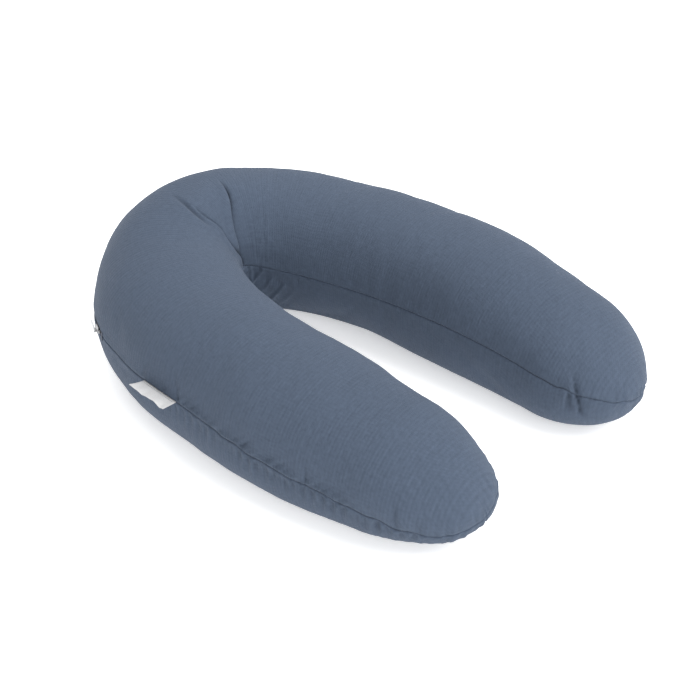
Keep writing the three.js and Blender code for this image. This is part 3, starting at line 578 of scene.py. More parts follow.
# ---- cloth simulation ----------------------------------------------------------------------
def simulate():
    """Blows the closed cover up a little over its filling while its seam draws in, on a coarse copy.
    Returns functions that give each panel's extra movement on the fine grid."""
    sl = arm_rows(-1, 5.0, 8.5, 90, [4.0, 9.0, 16.0])
    sr = arm_rows(1, 5.0, 8.5, 70, [4.0, 9.0, 16.0])
    s = np.array([-q for q in sl[::-1]] + [0.0] + sr)
    Rc = rings(s)
    edge = [0.0, 4.0, 9.0, 15.0]

    def cols(n):
        a = edge + [15.0] * (n - 1) + [30.0 - e for e in edge[::-1]]
        b = [0.0] * len(edge) + [k / n for k in range(1, n)] + [1.0] * len(edge)
        return np.array(a), np.array(b)

    (ta, tb), (la, lb) = cols(34), cols(34)

    def arc(lo, hi, a, b):
        n = hi - lo
        c = np.minimum(1, n / 75)
        return lo[:, None] + a * c[:, None] + b * (n - 30 * c)[:, None]

    Lt = arc(Rc["out"], Rc["inn"], ta, tb)
    Ll = arc(Rc["inn"], Rc["out"] + Rc["total"], la, lb)
    ring_L = np.concatenate([Lt, Ll[:, 1:-1]], 1)
    P = points(Rc, ring_L)
    rows, n = P.shape[:2]
    verts = np.concatenate([P.reshape(-1, 3), [TIP_L, TIP_R]])
    faces = []
    for i in range(rows - 1):
        for j in range(n):
            k = (j + 1) % n
            faces.append((i * n + j, i * n + k, (i + 1) * n + k, (i + 1) * n + j))
    for j in range(n):
        k = (j + 1) % n
        faces.append((rows * n, j, k))
        faces.append((rows * n + 1, (rows - 1) * n + k, (rows - 1) * n + j))
    me = bpy.data.meshes.new("sim_cover")
    me.from_pydata((verts / 1000).tolist(), [], [f[::-1] if sign < 0 else f for f in faces])
    me.validate()
    me.update()
    ob = bpy.data.objects.new("sim_cover", me)
    bpy.context.scene.collection.objects.link(ob)
    # seam vertices draw in; the underside is held on the floor
    seam_cols = [0, len(ta) - 1]
    shrink = ob.vertex_groups.new(name="shrink")
    hold = ob.vertex_groups.new(name="hold")
    weight = np.zeros(len(verts))
    for i in range(rows):
        for c in seam_cols:
            for dj, wt in ((0, 1.0), (-1, 0.6), (1, 0.6)):
                weight[i * n + (c + dj) % n] = max(weight[i * n + (c + dj) % n], wt)
    weight[-2:] = 1
    for i, wt in enumerate(weight):
        if wt > 0:
            shrink.add([i], float(wt), "REPLACE")
    for i, v in enumerate(verts):
        w = 0.985 if v[2] < 2 else 0.18 * (1 - min(v[2] / 40, 1)) + 0.02
        hold.add([i], float(w), "REPLACE")
    mod = ob.modifiers.new("Cloth", "CLOTH")
    st = mod.settings
    st.quality = 6
    st.mass = 0.25
    st.tension_stiffness = st.compression_stiffness = 12
    st.shear_stiffness = 6
    st.bending_stiffness = 0.08
    st.tension_damping = st.compression_damping = st.shear_damping = 5
    st.air_damping = 4
    st.use_pressure = True
    st.uniform_pressure_force = 3.0
    st.vertex_group_shrink = "shrink"
    st.shrink_min, st.shrink_max = 0.0, 0.09
    st.vertex_group_mass = "hold"
    st.pin_stiffness = 1.0
    st.effector_weights.gravity = 0
    mod.collision_settings.use_collision = False
    mod.collision_settings.use_self_collision = False
    scene = bpy.context.scene
    scene.frame_start, scene.frame_end = 1, 20
    mod.point_cache.frame_start, mod.point_cache.frame_end = 1, 20
    for f in range(1, 21):
        scene.frame_set(f)
    dg = bpy.context.evaluated_depsgraph_get()
    ev = ob.evaluated_get(dg)
    co = np.zeros(len(verts) * 3, np.float32)
    ev.data.vertices.foreach_get("co", co)
    co = co.reshape(-1, 3) * 1000
    scene.frame_set(1)
    bpy.data.objects.remove(ob)
    D = (co - verts)[: rows * n].reshape(rows, n, 3)
    # the arms keep their place and size: only wrinkles shorter than about 120 mm are kept
    slow = D.copy()
    for _ in range(70):
        slow = (np.roll(slow, 1, 1) + np.roll(slow, -1, 1) + 2 * slow) / 4
        pad = np.concatenate([2 * slow[:1] - slow[1:2], slow, 2 * slow[-1:] - slow[-2:-1]])
        slow = (pad[:-2] + pad[2:] + 2 * pad[1:-1]) / 4
    whole = np.linalg.norm(D, axis=-1)
    D = D - slow
    far = np.linalg.norm(D, axis=-1)
    print("cloth: moved mean %.2f max %.2f mm" % (whole.mean(), whole.max()))
    # the stuffed cover is tauter than the simulated one, so its wrinkles are kept low
    D = D * (0.34 / (1 + far / 5))[..., None]
    kept = np.linalg.norm(D, axis=-1)
    print("cloth: wrinkles mean %.2f max %.2f mm, kept mean %.2f max %.2f mm" % (far.mean(), far.max(), kept.mean(), kept.max()))
    # bilinear reading by (station, share of the panel's arc)
    q = np.searchsorted(s, S).clip(1, len(s) - 1)
    u = np.clip((S - s[q - 1]) / (s[q] - s[q - 1]), 0, 1)

    def read(D_, Lc, L, lo_c, hi_c, lo, hi):
        fc = (Lc - lo_c[:, None]) / (hi_c - lo_c)[:, None]
        f = np.clip((L - lo[:, None]) / (hi - lo)[:, None], 0, 1)
        out = np.zeros(L.shape + (3,))
        for i in range(len(S)):
            for w, k in ((1 - u[i], q[i] - 1), (u[i], q[i])):
                for c in range(3):
                    out[i, :, c] += w * np.interp(f[i], fc[k], D_[k, :, c])
        return out

    nt = len(ta)
    low_D = np.concatenate([D[:, nt - 1 :], D[:, :1]], 1)
    top = read(D[:, :nt], Lt, L_TOP, Rc["out"], Rc["inn"], R["out"], R["inn"])
    low = read(low_D, Ll, L_LOW, Rc["inn"], Rc["out"] + Rc["total"], R["inn"], R["out"] + R["total"])
    return top, low


SIM_TOP, SIM_LOW = simulate()
# nothing moves at the zipper, and the underside stays flat
away_t = smooth((np.where(seam_side[t_top] > 0, d_top, 75) - 14) / 25 + (np.abs(S)[:, None] > 215) * 1.0)
away_l = smooth((np.where(seam_side[t_low] > 0, d_low, 75) - 14) / 25 + (np.abs(S)[:, None] > 215) * 1.0)
k_zip = smooth((np.abs(S) - 185) / 40)[:, None]
away_t = np.maximum(smooth((d_top - 14) / 25), k_zip)
away_l = np.maximum(smooth((d_low - 14) / 25), k_zip)
ends_fade = smooth((np.where(S < 0, ARM[-1]["length"], ARM[1]["length"]) - np.abs(S) - 12) / 55)[:, None]
MOVE[True] += SIM_TOP * (away_t * ends_fade)[..., None]
MOVE[False] += SIM_LOW * (away_l * rest_low * ends_fade)[..., None]


def settle(P, share_inner):
    """How the stuffed ends and the inner wall of the right arm lie, a little off the CAD's plain curves."""
    out = np.zeros_like(P)
    for c, reach, move in (
        ((216, -339, 57), 62, (-4.8, 5.2, 0.0)),
        ((-96, -327, 58), 55, (3.4, -3.4, 0.6)),
        ((-196, -300, 12), 60, (4.4, 3.8, 0.0)),
    ):
        w = np.exp(-((P - np.array(c)) ** 2).sum(-1) / reach**2)
        out += w[..., None] * np.array(move)
    z = P[..., 2]
    run = smooth((S - 30) / 60) * smooth((400 - S) / 110)
    if share_inner is not None:
        w = run[:, None] * np.exp(-(((z - 14) / 34) ** 2)) * share_inner
        out[..., 0] += 9.0 * w
    return out


MOVE[True] += settle(P_TOP, None)
MOVE[False] += settle(P_LOW, smooth((0.5 - share_low) / 0.2))
Q_TOP, Q_LOW = P_TOP + MOVE[True], P_LOW + MOVE[False]
Q_LOW[..., 2] = np.maximum(Q_LOW[..., 2], 0.0)
# both panels end in the same seam line
ends = (Q_TOP[:, -1] + Q_LOW[:, 0]) / 2
Q_TOP[:, -1] = Q_LOW[:, 0] = ends
closed = HALF_OPEN < 0.02
ends = (Q_TOP[closed, 0] + Q_LOW[closed, -1]) / 2
Q_TOP[closed, 0] = Q_LOW[closed, -1] = ends
tip_move = []
for p_tip in (TIP_L, TIP_R):
    k_tip = int(kd.find(p_tip)[1])
    tip_move.append(settle(np.array([p_tip]), None)[0] + np.array([0, 0, float(sway[k_tip] + droop[k_tip])]))
TIPS_AT = [TIP_L - n_tip[0] * 2.3 + tip_move[0], TIP_R - n_tip[1] * 2.3 + tip_move[1]]


# ---- mesh helpers --------------------------------------------------------------------------
def make(name, verts, faces, mat, uv=None, normals=None, flat=False, across=None, fold_shade_paint=None):
    """A mesh object from millimetres."""
    me = bpy.data.meshes.new(name)
    me.from_pydata((np.asarray(verts, float) / 1000).tolist(), [], faces)
    me.update()
    for key, values in (("flat", uv), ("across", across), ("fold_shade_paint", fold_shade_paint)):
        if values is None:
            continue
        layer = me.uv_layers.new(name=key)
        idx = np.zeros(len(me.loops), np.int32)
        me.loops.foreach_get("vertex_index", idx)
        layer.data.foreach_set("uv", (np.asarray(values, float) / 1000)[idx].astype(np.float32).ravel())
    me.polygons.foreach_set("use_smooth", np.full(len(me.polygons), not flat))
    if normals is not None:
        me.normals_split_custom_set_from_vertices(np.asarray(normals, float).tolist())
    ob = bpy.data.objects.new(name, me)
    bpy.context.scene.collection.objects.link(ob)
    me.materials.append(mat)
    return ob


# ---- materials -----------------------------------------------------------------------------
class Nodes:
    def __init__(self, name):
        self.mat = bpy.data.materials.new(name)
        self.mat.use_nodes = True
        self.t = self.mat.node_tree
        self.t.nodes.clear()
        self.out = self.t.nodes.new("ShaderNodeOutputMaterial")

    def node(self, kind, **values):
        n = self.t.nodes.new(kind)
        for k, v in values.items():
            if hasattr(n, k):
                setattr(n, k, v)
        return n

    def put(self, socket, v):
        if isinstance(v, bpy.types.NodeSocket):
            self.t.links.new(v, socket)
        elif v is not None:
            socket.default_value = v

    def math(self, op, a, b=None, c=None, clamp=False):
        n = self.node("ShaderNodeMath", operation=op, use_clamp=clamp)
        for i, v in enumerate((a, b, c)):
            self.put(n.inputs[i], v)
        return n.outputs[0]

    def mix(self, f, a, b, kind="MIX"):
        n = self.node("ShaderNodeMix", data_type="RGBA", blend_type=kind)
        self.put(n.inputs[0], f)
        self.put(n.inputs[6], a)
        self.put(n.inputs[7], b)
        return n.outputs[2]

    def noise(self, vector, scale, detail=2.0, rough=0.5, dims="3D"):
        n = self.node("ShaderNodeTexNoise", noise_dimensions=dims)
        self.put(n.inputs["Vector"], vector)
        n.inputs["Scale"].default_value = scale
        n.inputs["Detail"].default_value = detail
        n.inputs["Roughness"].default_value = rough
        return n.outputs["Fac"]

    def bump(self, height, distance, strength=1.0, normal=None):
        n = self.node("ShaderNodeBump")
        n.inputs["Strength"].default_value = strength
        n.inputs["Distance"].default_value = distance
        self.put(n.inputs["Height"], height)
        if normal is not None:
            self.put(n.inputs["Normal"], normal)
        return n.outputs["Normal"]

    def uv(self, name="flat"):
        n = self.node("ShaderNodeUVMap")
        n.uv_map = name
        sep = self.node("ShaderNodeSeparateXYZ")
        self.t.links.new(n.outputs[0], sep.inputs[0])
        return n.outputs[0], sep.outputs[0], sep.outputs[1]

    def obj(self):
        return self.node("ShaderNodeTexCoord").outputs["Object"]

    def finish(self, **values):
        b = self.node("ShaderNodeBsdfPrincipled")
        for k, v in values.items():
            self.put(b.inputs[k.replace("_", " ")], v)
        self.t.links.new(b.outputs[0], self.out.inputs[0])
        return self.mat


def rgb(*c):
    """A colour given as display values 0..255, as linear light."""
    lin = [v / 255 / 12.92 if v / 255 <= 0.04045 else ((v / 255 + 0.055) / 1.055) ** 2.4 for v in c]
    return (*lin, 1.0)


CLOTH = (0.0600, 0.0795, 0.1150)


def cover_material():
    m = Nodes("cover_cloth_knit")
    uv, x, y = m.uv()
    # ribs run across the arms, a little wavy and uneven
    across, run_, arc_ = m.uv("across")
    wander = m.math("MULTIPLY", m.math("SUBTRACT", m.noise(uv, 22.0, 2.0), 0.5), 0.0036)
    yy = m.math("ADD", run_, wander)
    rib = m.math("SINE", m.math("MULTIPLY", yy, 2 * math.pi / 0.0043))
    rib2 = m.math("SINE", m.math("MULTIPLY", yy, 2 * math.pi / 0.0071))
    gain = m.math("MULTIPLY_ADD", m.noise(uv, 38.0, 3.0, 0.6), 1.7, -0.25, clamp=True)
    rib = m.math("MULTIPLY", m.math("ADD", rib, m.math("MULTIPLY", rib2, 0.35)), gain)
    # a fainter set crosses them, so the cloth looks lightly checked in places
    drift = m.math("MULTIPLY", m.math("SUBTRACT", m.noise(uv, 31.0, 2.0), 0.5), 0.0050)
    cross = m.math("SINE", m.math("MULTIPLY", m.math("ADD", arc_, drift), 2 * math.pi / 0.0049))
    gain2 = m.math("MULTIPLY_ADD", m.noise(uv, 17.0, 3.0, 0.6), 2.6, -0.85, clamp=True)
    rib = m.math("ADD", rib, m.math("MULTIPLY", m.math("MULTIPLY", cross, gain2), 0.5))
    # knit stitches: staggered little Vs
    px, py = 0.00105, 0.00092
    cx = m.math("MULTIPLY", x, 1 / px)
    tri = m.math("ABSOLUTE", m.math("SUBTRACT", m.math("FRACT", cx), 0.5))
    cy = m.math("ADD", m.math("MULTIPLY", y, 1 / py), m.math("MULTIPLY", tri, 1.15))
    loop_ = m.math("ABSOLUTE", m.math("SINE", m.math("MULTIPLY", cy, math.pi)))
    wale = m.math("MULTIPLY", m.math("SUBTRACT", 0.5, tri), 1.0)
    knit = m.math("ADD", m.math("MULTIPLY", loop_, 0.6), m.math("SQRT", m.math("ABSOLUTE", m.math("SINE", m.math("MULTIPLY", cx, 2 * math.pi)))))
    fuzz = m.noise(uv, 2600.0, 3.0, 0.65)
    blotch = m.noise(uv, 170.0, 4.0, 0.6)
    wide = m.noise(uv, 9.0, 3.0, 0.55)
    height = m.math("ADD", m.math("MULTIPLY", rib, 0.15), m.math("MULTIPLY", knit, 0.10))
    height = m.math("ADD", height, m.math("MULTIPLY", fuzz, 0.05))
    height = m.math("ADD", height, m.math("MULTIPLY", blotch, 0.16))
    normal = m.bump(height, 0.001, 0.9)
    tone = m.math("ADD", 1.0, m.math("MULTIPLY", rib, 0.055))
    tone = m.math("ADD", tone, m.math("MULTIPLY", m.math("SUBTRACT", knit, 0.95), 0.10))
    tone = m.math("ADD", tone, m.math("MULTIPLY", m.math("SUBTRACT", blotch, 0.5), 0.5))
    tone = m.math("ADD", tone, m.math("MULTIPLY", m.math("SUBTRACT", wide, 0.5), 0.16))
    tone = m.math("ADD", tone, m.math("MULTIPLY", m.math("SUBTRACT", fuzz, 0.5), 0.12))
    # painted shade: the cloth's colour is darkened in folds and between gathers, read from a UV map
    fold_shade_paint, shade_amount, _ = m.uv("fold_shade_paint")
    tone = m.math("MULTIPLY", tone, m.math("SUBTRACT", 1.0, shade_amount))
    col = m.node("ShaderNodeVectorMath", operation="SCALE")
    col.inputs[0].default_value = CLOTH
    m.put(col.inputs["Scale"], tone)
    return m.finish(
        Base_Color=col.outputs[0], Roughness=0.88, Normal=normal, Specular_IOR_Level=0.14,
        Sheen_Weight=0.11, Sheen_Roughness=0.45, Sheen_Tint=(0.72, 0.80, 0.95, 1.0),
    )


def thread_material(name, colour, pitch=900.0):
    m = Nodes(name)
    o = m.obj()
    n = m.noise(o, pitch * 2, 3.0, 0.6)
    tone = m.mix(n, (*[c * 0.7 for c in colour[:3]], 1), (*[min(c * 1.25, 1) for c in colour[:3]], 1))
    return m.finish(Base_Color=tone, Roughness=0.72, Normal=m.bump(n, 0.0001, 0.8), Specular_IOR_Level=0.3, Sheen_Weight=0.1)


def tape_material():
    m = Nodes("zipper_tape_weave")
    uv, x, y = m.uv()
    a = m.math("ABSOLUTE", m.math("SINE", m.math("MULTIPLY", m.math("ADD", x, y), math.pi / 0.0007)))
    b = m.math("ABSOLUTE", m.math("SINE", m.math("MULTIPLY", y, math.pi / 0.0009)))
    h = m.math("ADD", m.math("MULTIPLY", a, 0.6), m.math("MULTIPLY", b, 0.5))
    n = m.noise(uv, 900.0, 2.0)
    tone = m.mix(m.math("MULTIPLY", m.math("ADD", h, n), 0.45), (0.024, 0.031, 0.046, 1), (0.046, 0.058, 0.084, 1))
    return m.finish(Base_Color=tone, Roughness=0.8, Normal=m.bump(h, 0.00012, 0.9), Specular_IOR_Level=0.25, Sheen_Weight=0.1)


def coil_material():
    m = Nodes("zipper_coil_nylon")
    n = m.noise(m.obj(), 1500.0, 2.0)
    tone = m.mix(n, (0.032, 0.041, 0.060, 1), (0.052, 0.065, 0.090, 1))
    rough = m.math("MULTIPLY_ADD", n, 0.12, 0.32)
    return m.finish(Base_Color=tone, Roughness=rough, Normal=m.bump(n, 0.00004, 0.6))


def metal_material():
    m = Nodes("zipper_metal_cast")
    o = m.obj()
    n = m.noise(o, 1400.0, 4.0, 0.6)
    s = m.noise(o, 300.0, 3.0, 0.55)
    tone = m.mix(s, (0.30, 0.305, 0.315, 1), (0.42, 0.425, 0.435, 1))
    rough = m.math("MULTIPLY_ADD", n, 0.16, 0.24)
    return m.finish(Base_Color=tone, Metallic=1.0, Roughness=rough, Normal=m.bump(n, 0.00003, 0.5))


def label_material():
    m = Nodes("label_woven_satin")
    uv, x, y = m.uv()
    a = m.math("ABSOLUTE", m.math("SINE", m.math("MULTIPLY", x, math.pi / 0.00045)))
    b = m.math("ABSOLUTE", m.math("SINE", m.math("MULTIPLY", y, math.pi / 0.0006)))
    h = m.math("MULTIPLY", a, b)
    n = m.noise(uv, 700.0, 3.0)
    tone = m.mix(m.math("MULTIPLY", m.math("ADD", h, n), 0.5), (0.40, 0.40, 0.41, 1), (0.60, 0.60, 0.60, 1))
    return m.finish(Base_Color=tone, Roughness=0.6, Normal=m.bump(h, 0.00008, 0.8), Specular_IOR_Level=0.35, Sheen_Weight=0.1)


COVER_MAT = cover_material()
THREAD_MAT = thread_material("cover_thread_twist", (0.040, 0.050, 0.075))
LABEL_THREAD_MAT = thread_material("label_thread_twist", (0.055, 0.068, 0.098))
TAPE_MAT, COIL_MAT, METAL_MAT, LABEL_MAT = tape_material(), coil_material(), metal_material(), label_material()

# ---- cover pieces --------------------------------------------------------------------------
NODES_OF = {
    ("top", "left"): ["cover_top_panel", "inner_bag_top_panel", "bead_filling_left_arm"],
    ("top", "right"): ["cover_top_panel", "inner_bag_top_panel", "bead_filling_right_arm"],
    ("low", "left"): ["cover_bottom_panel", "inner_bag_bottom_panel", "inner_bag_seam_thread", "bead_filling_back"],
    ("low", "right"): ["cover_bottom_panel", "inner_bag_bottom_panel", "inner_bag_seam_thread", "bead_filling_back"],
}


def bend(ob):
    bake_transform(ob)


def flat_uv(R_, L, top):
    """Place of each vertex in the flat cutting pattern: the spine's point plus the arc from the crown."""
    if top:
        mid_arc = np.array([np.interp(RING / 4, np.arange(RING + 1), R_["len"][i]) for i in range(len(L))])
    else:
        mid_arc = np.array([np.interp(RING * 3 / 4, np.arange(RING + 1), R_["len"][i]) for i in range(len(L))])
    a = (mid_arc[:, None] - L) * (1 if top else -1)
    st = R_["st"]
    return np.stack([st["x"][:, None] + st["nx"][:, None] * a, st["y"][:, None] + st["ny"][:, None] * a], -1)


def panel_faces(rows, cols, pole_first, pole_last, flip):
    f = []
    i = np.arange(rows - 1)[:, None] * cols
    j = np.arange(cols - 1)[None, :]
    q = np.stack([i + j, i + j + 1, i + j + 1 + cols, i + j + cols], -1).reshape(-1, 4)
    f = q.tolist()
    n = rows * cols
    if pole_first:
        f += [[n, k + 1, k] for k in range(cols - 1)]
    if pole_last:
        b = (rows - 1) * cols
        f += [[n, b + k, b + k + 1] for k in range(cols - 1)]
    return [v[::-1] for v in f] if flip else f


for part, Qp, Lp in (("top", Q_TOP, L_TOP), ("low", Q_LOW, L_LOW)):
    N, n_a, n_b = grid_normals(Qp, TIPS_AT[0], TIPS_AT[1], sign)
    UV = flat_uv(R, Lp, part == "top")
    for side in ("left", "right"):
        rows = slice(0, ZERO + 1) if side == "left" else slice(ZERO, len(S))
        pole, pn, ps = (TIPS_AT[0], n_a, -1) if side == "left" else (TIPS_AT[1], n_b, 1)
        q, nn, u = Qp[rows], N[rows], UV[rows]
        st = stations(np.array([ps * ARM[ps]["length"] * (1 - 1e-9)]))
        run_of = np.stack([np.repeat(S[rows][:, None], q.shape[1], 1), Lp[rows]], -1)
        verts = np.concatenate([q.reshape(-1, 3), [pole]])
        norms = np.concatenate([nn.reshape(-1, 3), [pn]])
        uvs = np.concatenate([u.reshape(-1, 2), [[st["x"][0], st["y"][0]]]])
        faces = panel_faces(q.shape[0], q.shape[1], side == "left", side == "right", sign < 0)
        runs = np.concatenate([run_of.reshape(-1, 2), [[ps * ARM[ps]["length"], 0.0]]])
        # painted shade of the folds and gather hollows, passed to the material in a UV map
        shade_amount = PAINTED_SHADE_MAP[part == "top"][rows].reshape(-1)
        shade_amount = np.concatenate([np.stack([shade_amount, shade_amount * 0], -1), [[0.0, 0.0]]]) * 1000
        ob = make(f"cover_{part}_{side}", verts, faces, COVER_MAT, uvs, norms, across=runs, fold_shade_paint=shade_amount)
        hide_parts(*NODES_OF[(part, side)])
        bend(ob)


# ---- stitches ------------------------------------------------------------------------------
def stitches(name, centres, along, out, length, radius, mat, sides=6):
    """Short rounded threads, one for each centre."""
    ts = np.array([-0.5, -0.44, -0.25, 0.0, 0.25, 0.44, 0.5])
    rs = np.array([0.25, 0.7, 0.97, 1.0, 0.97, 0.7, 0.25])
    verts, faces, m = [], [], len(ts) * sides
    a = 2 * np.pi * np.arange(sides) / sides
    for k, (c, t, n) in enumerate(zip(centres, along, out)):
        b = np.cross(t, n)
        arch = 0.35 * radius * (1 - (2 * ts) ** 2)
        ring = c + t * (ts * length)[:, None, None] + n * arch[:, None, None]
        ring = ring + radius * rs[:, None, None] * (np.cos(a)[None, :, None] * b + np.sin(a)[None, :, None] * n)
        verts.append(ring.reshape(-1, 3))
        o = k * m
        for i in range(len(ts) - 1):
            for j in range(sides):
                j2 = (j + 1) % sides
                faces.append((o + i * sides + j, o + i * sides + j2, o + (i + 1) * sides + j2, o + (i + 1) * sides + j))
        faces.append(tuple(o + j for j in range(sides))[::-1])
        faces.append(tuple(o + (len(ts) - 1) * sides + j for j in range(sides)))
    ob = make(name, np.concatenate(verts), faces, mat)
    return ob


closed_loop = (seam_side < 0) | (np.abs(seam_s) > ZIP_S + 10) | (np.abs(seam_side) < 1)
T_seam = unit(np.roll(seam_pts, -2, 0) - np.roll(seam_pts, 2, 0))
axis_pts = np.stack([np.interp(seam_s, S, R["st"]["x"]) - MID[0], np.interp(seam_s, S, R["st"]["y"]) - MID[1], np.interp(seam_s, S, R["st"]["zm"])], 1)
raw = seam_pts - axis_pts
N_seam = unit(raw - (raw * T_seam).sum(1, keepdims=True) * T_seam)
for side in ("left", "right"):
    pick = [i for i in range(0, len(tt), 6) if closed_loop[i] and ((seam_s[i] < 0) if side == "left" else (seam_s[i] >= 0))]
    at = seam_pts[pick] + settle(seam_pts[pick], None) + (sway + droop)[pick][:, None] * np.array([0, 0, 1.0])
    ob = stitches(f"seam_stitches_{side}", at - N_seam[pick] * 1.75, T_seam[pick], N_seam[pick], 2.5, 0.27, THREAD_MAT)
    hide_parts("cover_seam_thread")
    bend(ob)

# ---- zipper --------------------------------------------------------------------------------
ZS = np.linspace(-ZIP_S + 0.5, ZIP_S - 0.5, 520)
RZ = rings(ZS)


def zip_band(offsets, sink):
    """Points beside the zipper's centre line: offsets along the section (up is plus), sunk under the surface."""
    L = RZ["out"][:, None] + np.asarray(offsets, float)
    P = points(RZ, L)
    g = np.gradient(P, axis=0)
    up = points(RZ, L + 0.5) - points(RZ, L - 0.5)
    n = unit(np.cross(g, up))
    away = P - np.stack([RZ["st"]["x"] - MID[0], RZ["st"]["y"] - MID[1], RZ["st"]["zm"]], 1)[:, None]
    n *= np.sign((n * away).sum(-1, keepdims=True))
    return P - n * np.asarray(sink, float)[None, :, None], n, unit(g)


for name, sgn in (("upper", 1), ("lower", -1)):
    off = [0.9, 1.6, 2.4, 3.4, 4.6, 6.0, 7.6, 8.6]
    P, n, g = zip_band([sgn * o for o in off], [1.2, 1.15, 1.15, 1.2, 1.3, 1.5, 1.8, 2.0])
    B = P - n * 0.45
    rows, c = P.shape[:2]
    ringv = np.concatenate([P, B[:, ::-1]], 1)
    k = 2 * c
    faces = [(i * k + j, i * k + (j + 1) % k, (i + 1) * k + (j + 1) % k, (i + 1) * k + j) for i in range(rows - 1) for j in range(k)]
    faces += [tuple(range(k))[::-1], tuple((rows - 1) * k + j for j in range(k))]
    if sgn > 0:
        faces = [f[::-1] for f in faces]
    run_z = np.concatenate([[0], np.cumsum(np.linalg.norm(np.diff(P[:, 0], axis=0), axis=1))])
    uv = np.stack([np.repeat(run_z[:, None], k, 1), np.tile(np.array(off + off[::-1]), (rows, 1))], -1)
    ob = make(f"zipper_tape_{name}_woven", ringv.reshape(-1, 3), faces, TAPE_MAT, uv.reshape(-1, 2))
    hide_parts(f"zipper_tape_{name}")
    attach(ob, "back")

# coil: one rounded bite for each turn, the two sides meshing
A0, A1 = -1.16340, 1.14796
ZC = np.array([-MID[0], ZIP_CY - MID[1], ZIP_Z])


def on_arc(a, r=0.0, z=0.0):
    a = np.asarray(a, float)
    return np.stack([ZC[0] + (ZIP_R + r) * np.sin(a), ZC[1] + (ZIP_R + r) * np.cos(a), ZC[2] + z + 0 * a], -1)


PITCH = 1.5
teeth = np.arange(A0 + 4.6 / ZIP_R, A1 - 4.6 / ZIP_R, PITCH / ZIP_R)
for name, sgn, shift in (("upper", 1, 0.0), ("lower", -1, 0.5)):
    a = teeth + shift * PITCH / ZIP_R
    u = np.array([-0.55, -0.25, 0.25, 0.9, 1.5, 2.05, 2.3])
    w = np.array([0.20, 0.42, 0.40, 0.36, 0.36, 0.34, 0.16])
    rise = np.array([-0.35, -0.05, 0.10, 0.14, 0.08, -0.10, -0.3])
    sides = 7
    th = 2 * np.pi * np.arange(sides) / sides
    verts, faces, m = [], [], len(u) * sides
    for k, ak in enumerate(a):
        t = np.array([math.cos(ak), -math.sin(ak), 0.0])
        nrm = np.array([math.sin(ak), math.cos(ak), 0.0])
        zz = np.array([0, 0, 1.0])
        c = on_arc(np.full(len(u), ak), 0.0, 0.0) + nrm * (rise - 0.55)[:, None] + zz * (sgn * u)[:, None] + t * (0.30 * (u - 0.8) * 0.5)[:, None]
        ringp = c[:, None] + w[:, None, None] * (np.cos(th)[None, :, None] * t * 1.15 + np.sin(th)[None, :, None] * nrm * 1.2)
        verts.append(ringp.reshape(-1, 3))
        o = k * m
        for i in range(len(u) - 1):
            for j in range(sides):
                j2 = (j + 1) % sides
                q = (o + i * sides + j, o + i * sides + j2, o + (i + 1) * sides + j2, o + (i + 1) * sides + j)
                faces.append(q[::-1] if sgn > 0 else q)
        ends_ = [tuple(o + j for j in range(sides)), tuple(o + (len(u) - 1) * sides + j for j in range(sides))[::-1]]
        faces += ends_ if sgn > 0 else [f[::-1] for f in ends_]
    ob = make(f"zipper_coil_{name}_teeth", np.concatenate(verts), faces, COIL_MAT)
    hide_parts(f"zipper_coil_{name}")
    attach(ob, "back")

# topstitching beside the zipper
P, n, g = zip_band([ZIP_HALF + 2.6, -(ZIP_HALF + 2.6)], [0.0, 0.0])
run_z = np.concatenate([[0], np.cumsum(np.linalg.norm(np.diff(P[:, 0], axis=0), axis=1))])
at = np.arange(2, run_z[-1] - 2, 3.1)
for c, name in ((0, "upper"), (1, "lower")):
    cp = np.stack([np.interp(at, run_z, P[:, c, k]) for k in range(3)], 1)
    cn = unit(np.stack([np.interp(at, run_z, n[:, c, k]) for k in range(3)], 1))
    cg = unit(np.stack([np.interp(at, run_z, g[:, c, k]) for k in range(3)], 1))
    ob = stitches(f"zipper_topstitch_{name}", cp + cn * (-0.28 if c == 0 else -0.30), cg, cn, 2.5, 0.24, THREAD_MAT)
    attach(ob, "back")

# small metal parts and bartacks keep their CAD solids, with softened edges and their own finish
for node, mat, slot, width in (
    ("zipper_slider_body", METAL_MAT, "zipper_metal", 0.0003),
    ("zipper_pull_tab", METAL_MAT, "zipper_metal", 0.0003),
    ("zipper_end_stop_left", METAL_MAT, "zipper_metal", 0.0004),
    ("zipper_end_stop_right", METAL_MAT, "zipper_metal", 0.0004),
    ("zipper_bartack_left", THREAD_MAT, "cover_thread", 0.0002),
    ("zipper_bartack_right", THREAD_MAT, "cover_thread", 0.0002),
):
    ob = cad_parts[node]
    ob.data.materials.clear()
    ob.data.materials.append(mat)
    weld = ob.modifiers.new("weld", "WELD")
    weld.merge_threshold = 1e-5
    mod = ob.modifiers.new("soft_edges", "BEVEL")
    mod.width = width
    mod.segments = 3
    mod.limit_method = "ANGLE"
    mod.angle_limit = math.radians(30)
    mod.harden_normals = True

# ---- label ---------------------------------------------------------------------------------
LABEL_FROM, LABEL_TO, LABEL_OUT = 276.0, 329.0, 20.0
UL = np.linspace(0, 1, 72)
SL = -(LABEL_FROM + (LABEL_TO - LABEL_FROM) * UL)
order = np.argsort(SL)
RL = rings(SL[order])
root = np.empty((len(UL), 3))
root[order] = points(RL, RL["out"][:, None])[:, 0]
face = np.empty((len(UL), 2))
face[order] = np.stack([RL["st"]["nx"], RL["st"]["ny"]], 1)
flat_dir = unit(np.concatenate([face, np.zeros((len(UL), 1))], 1))


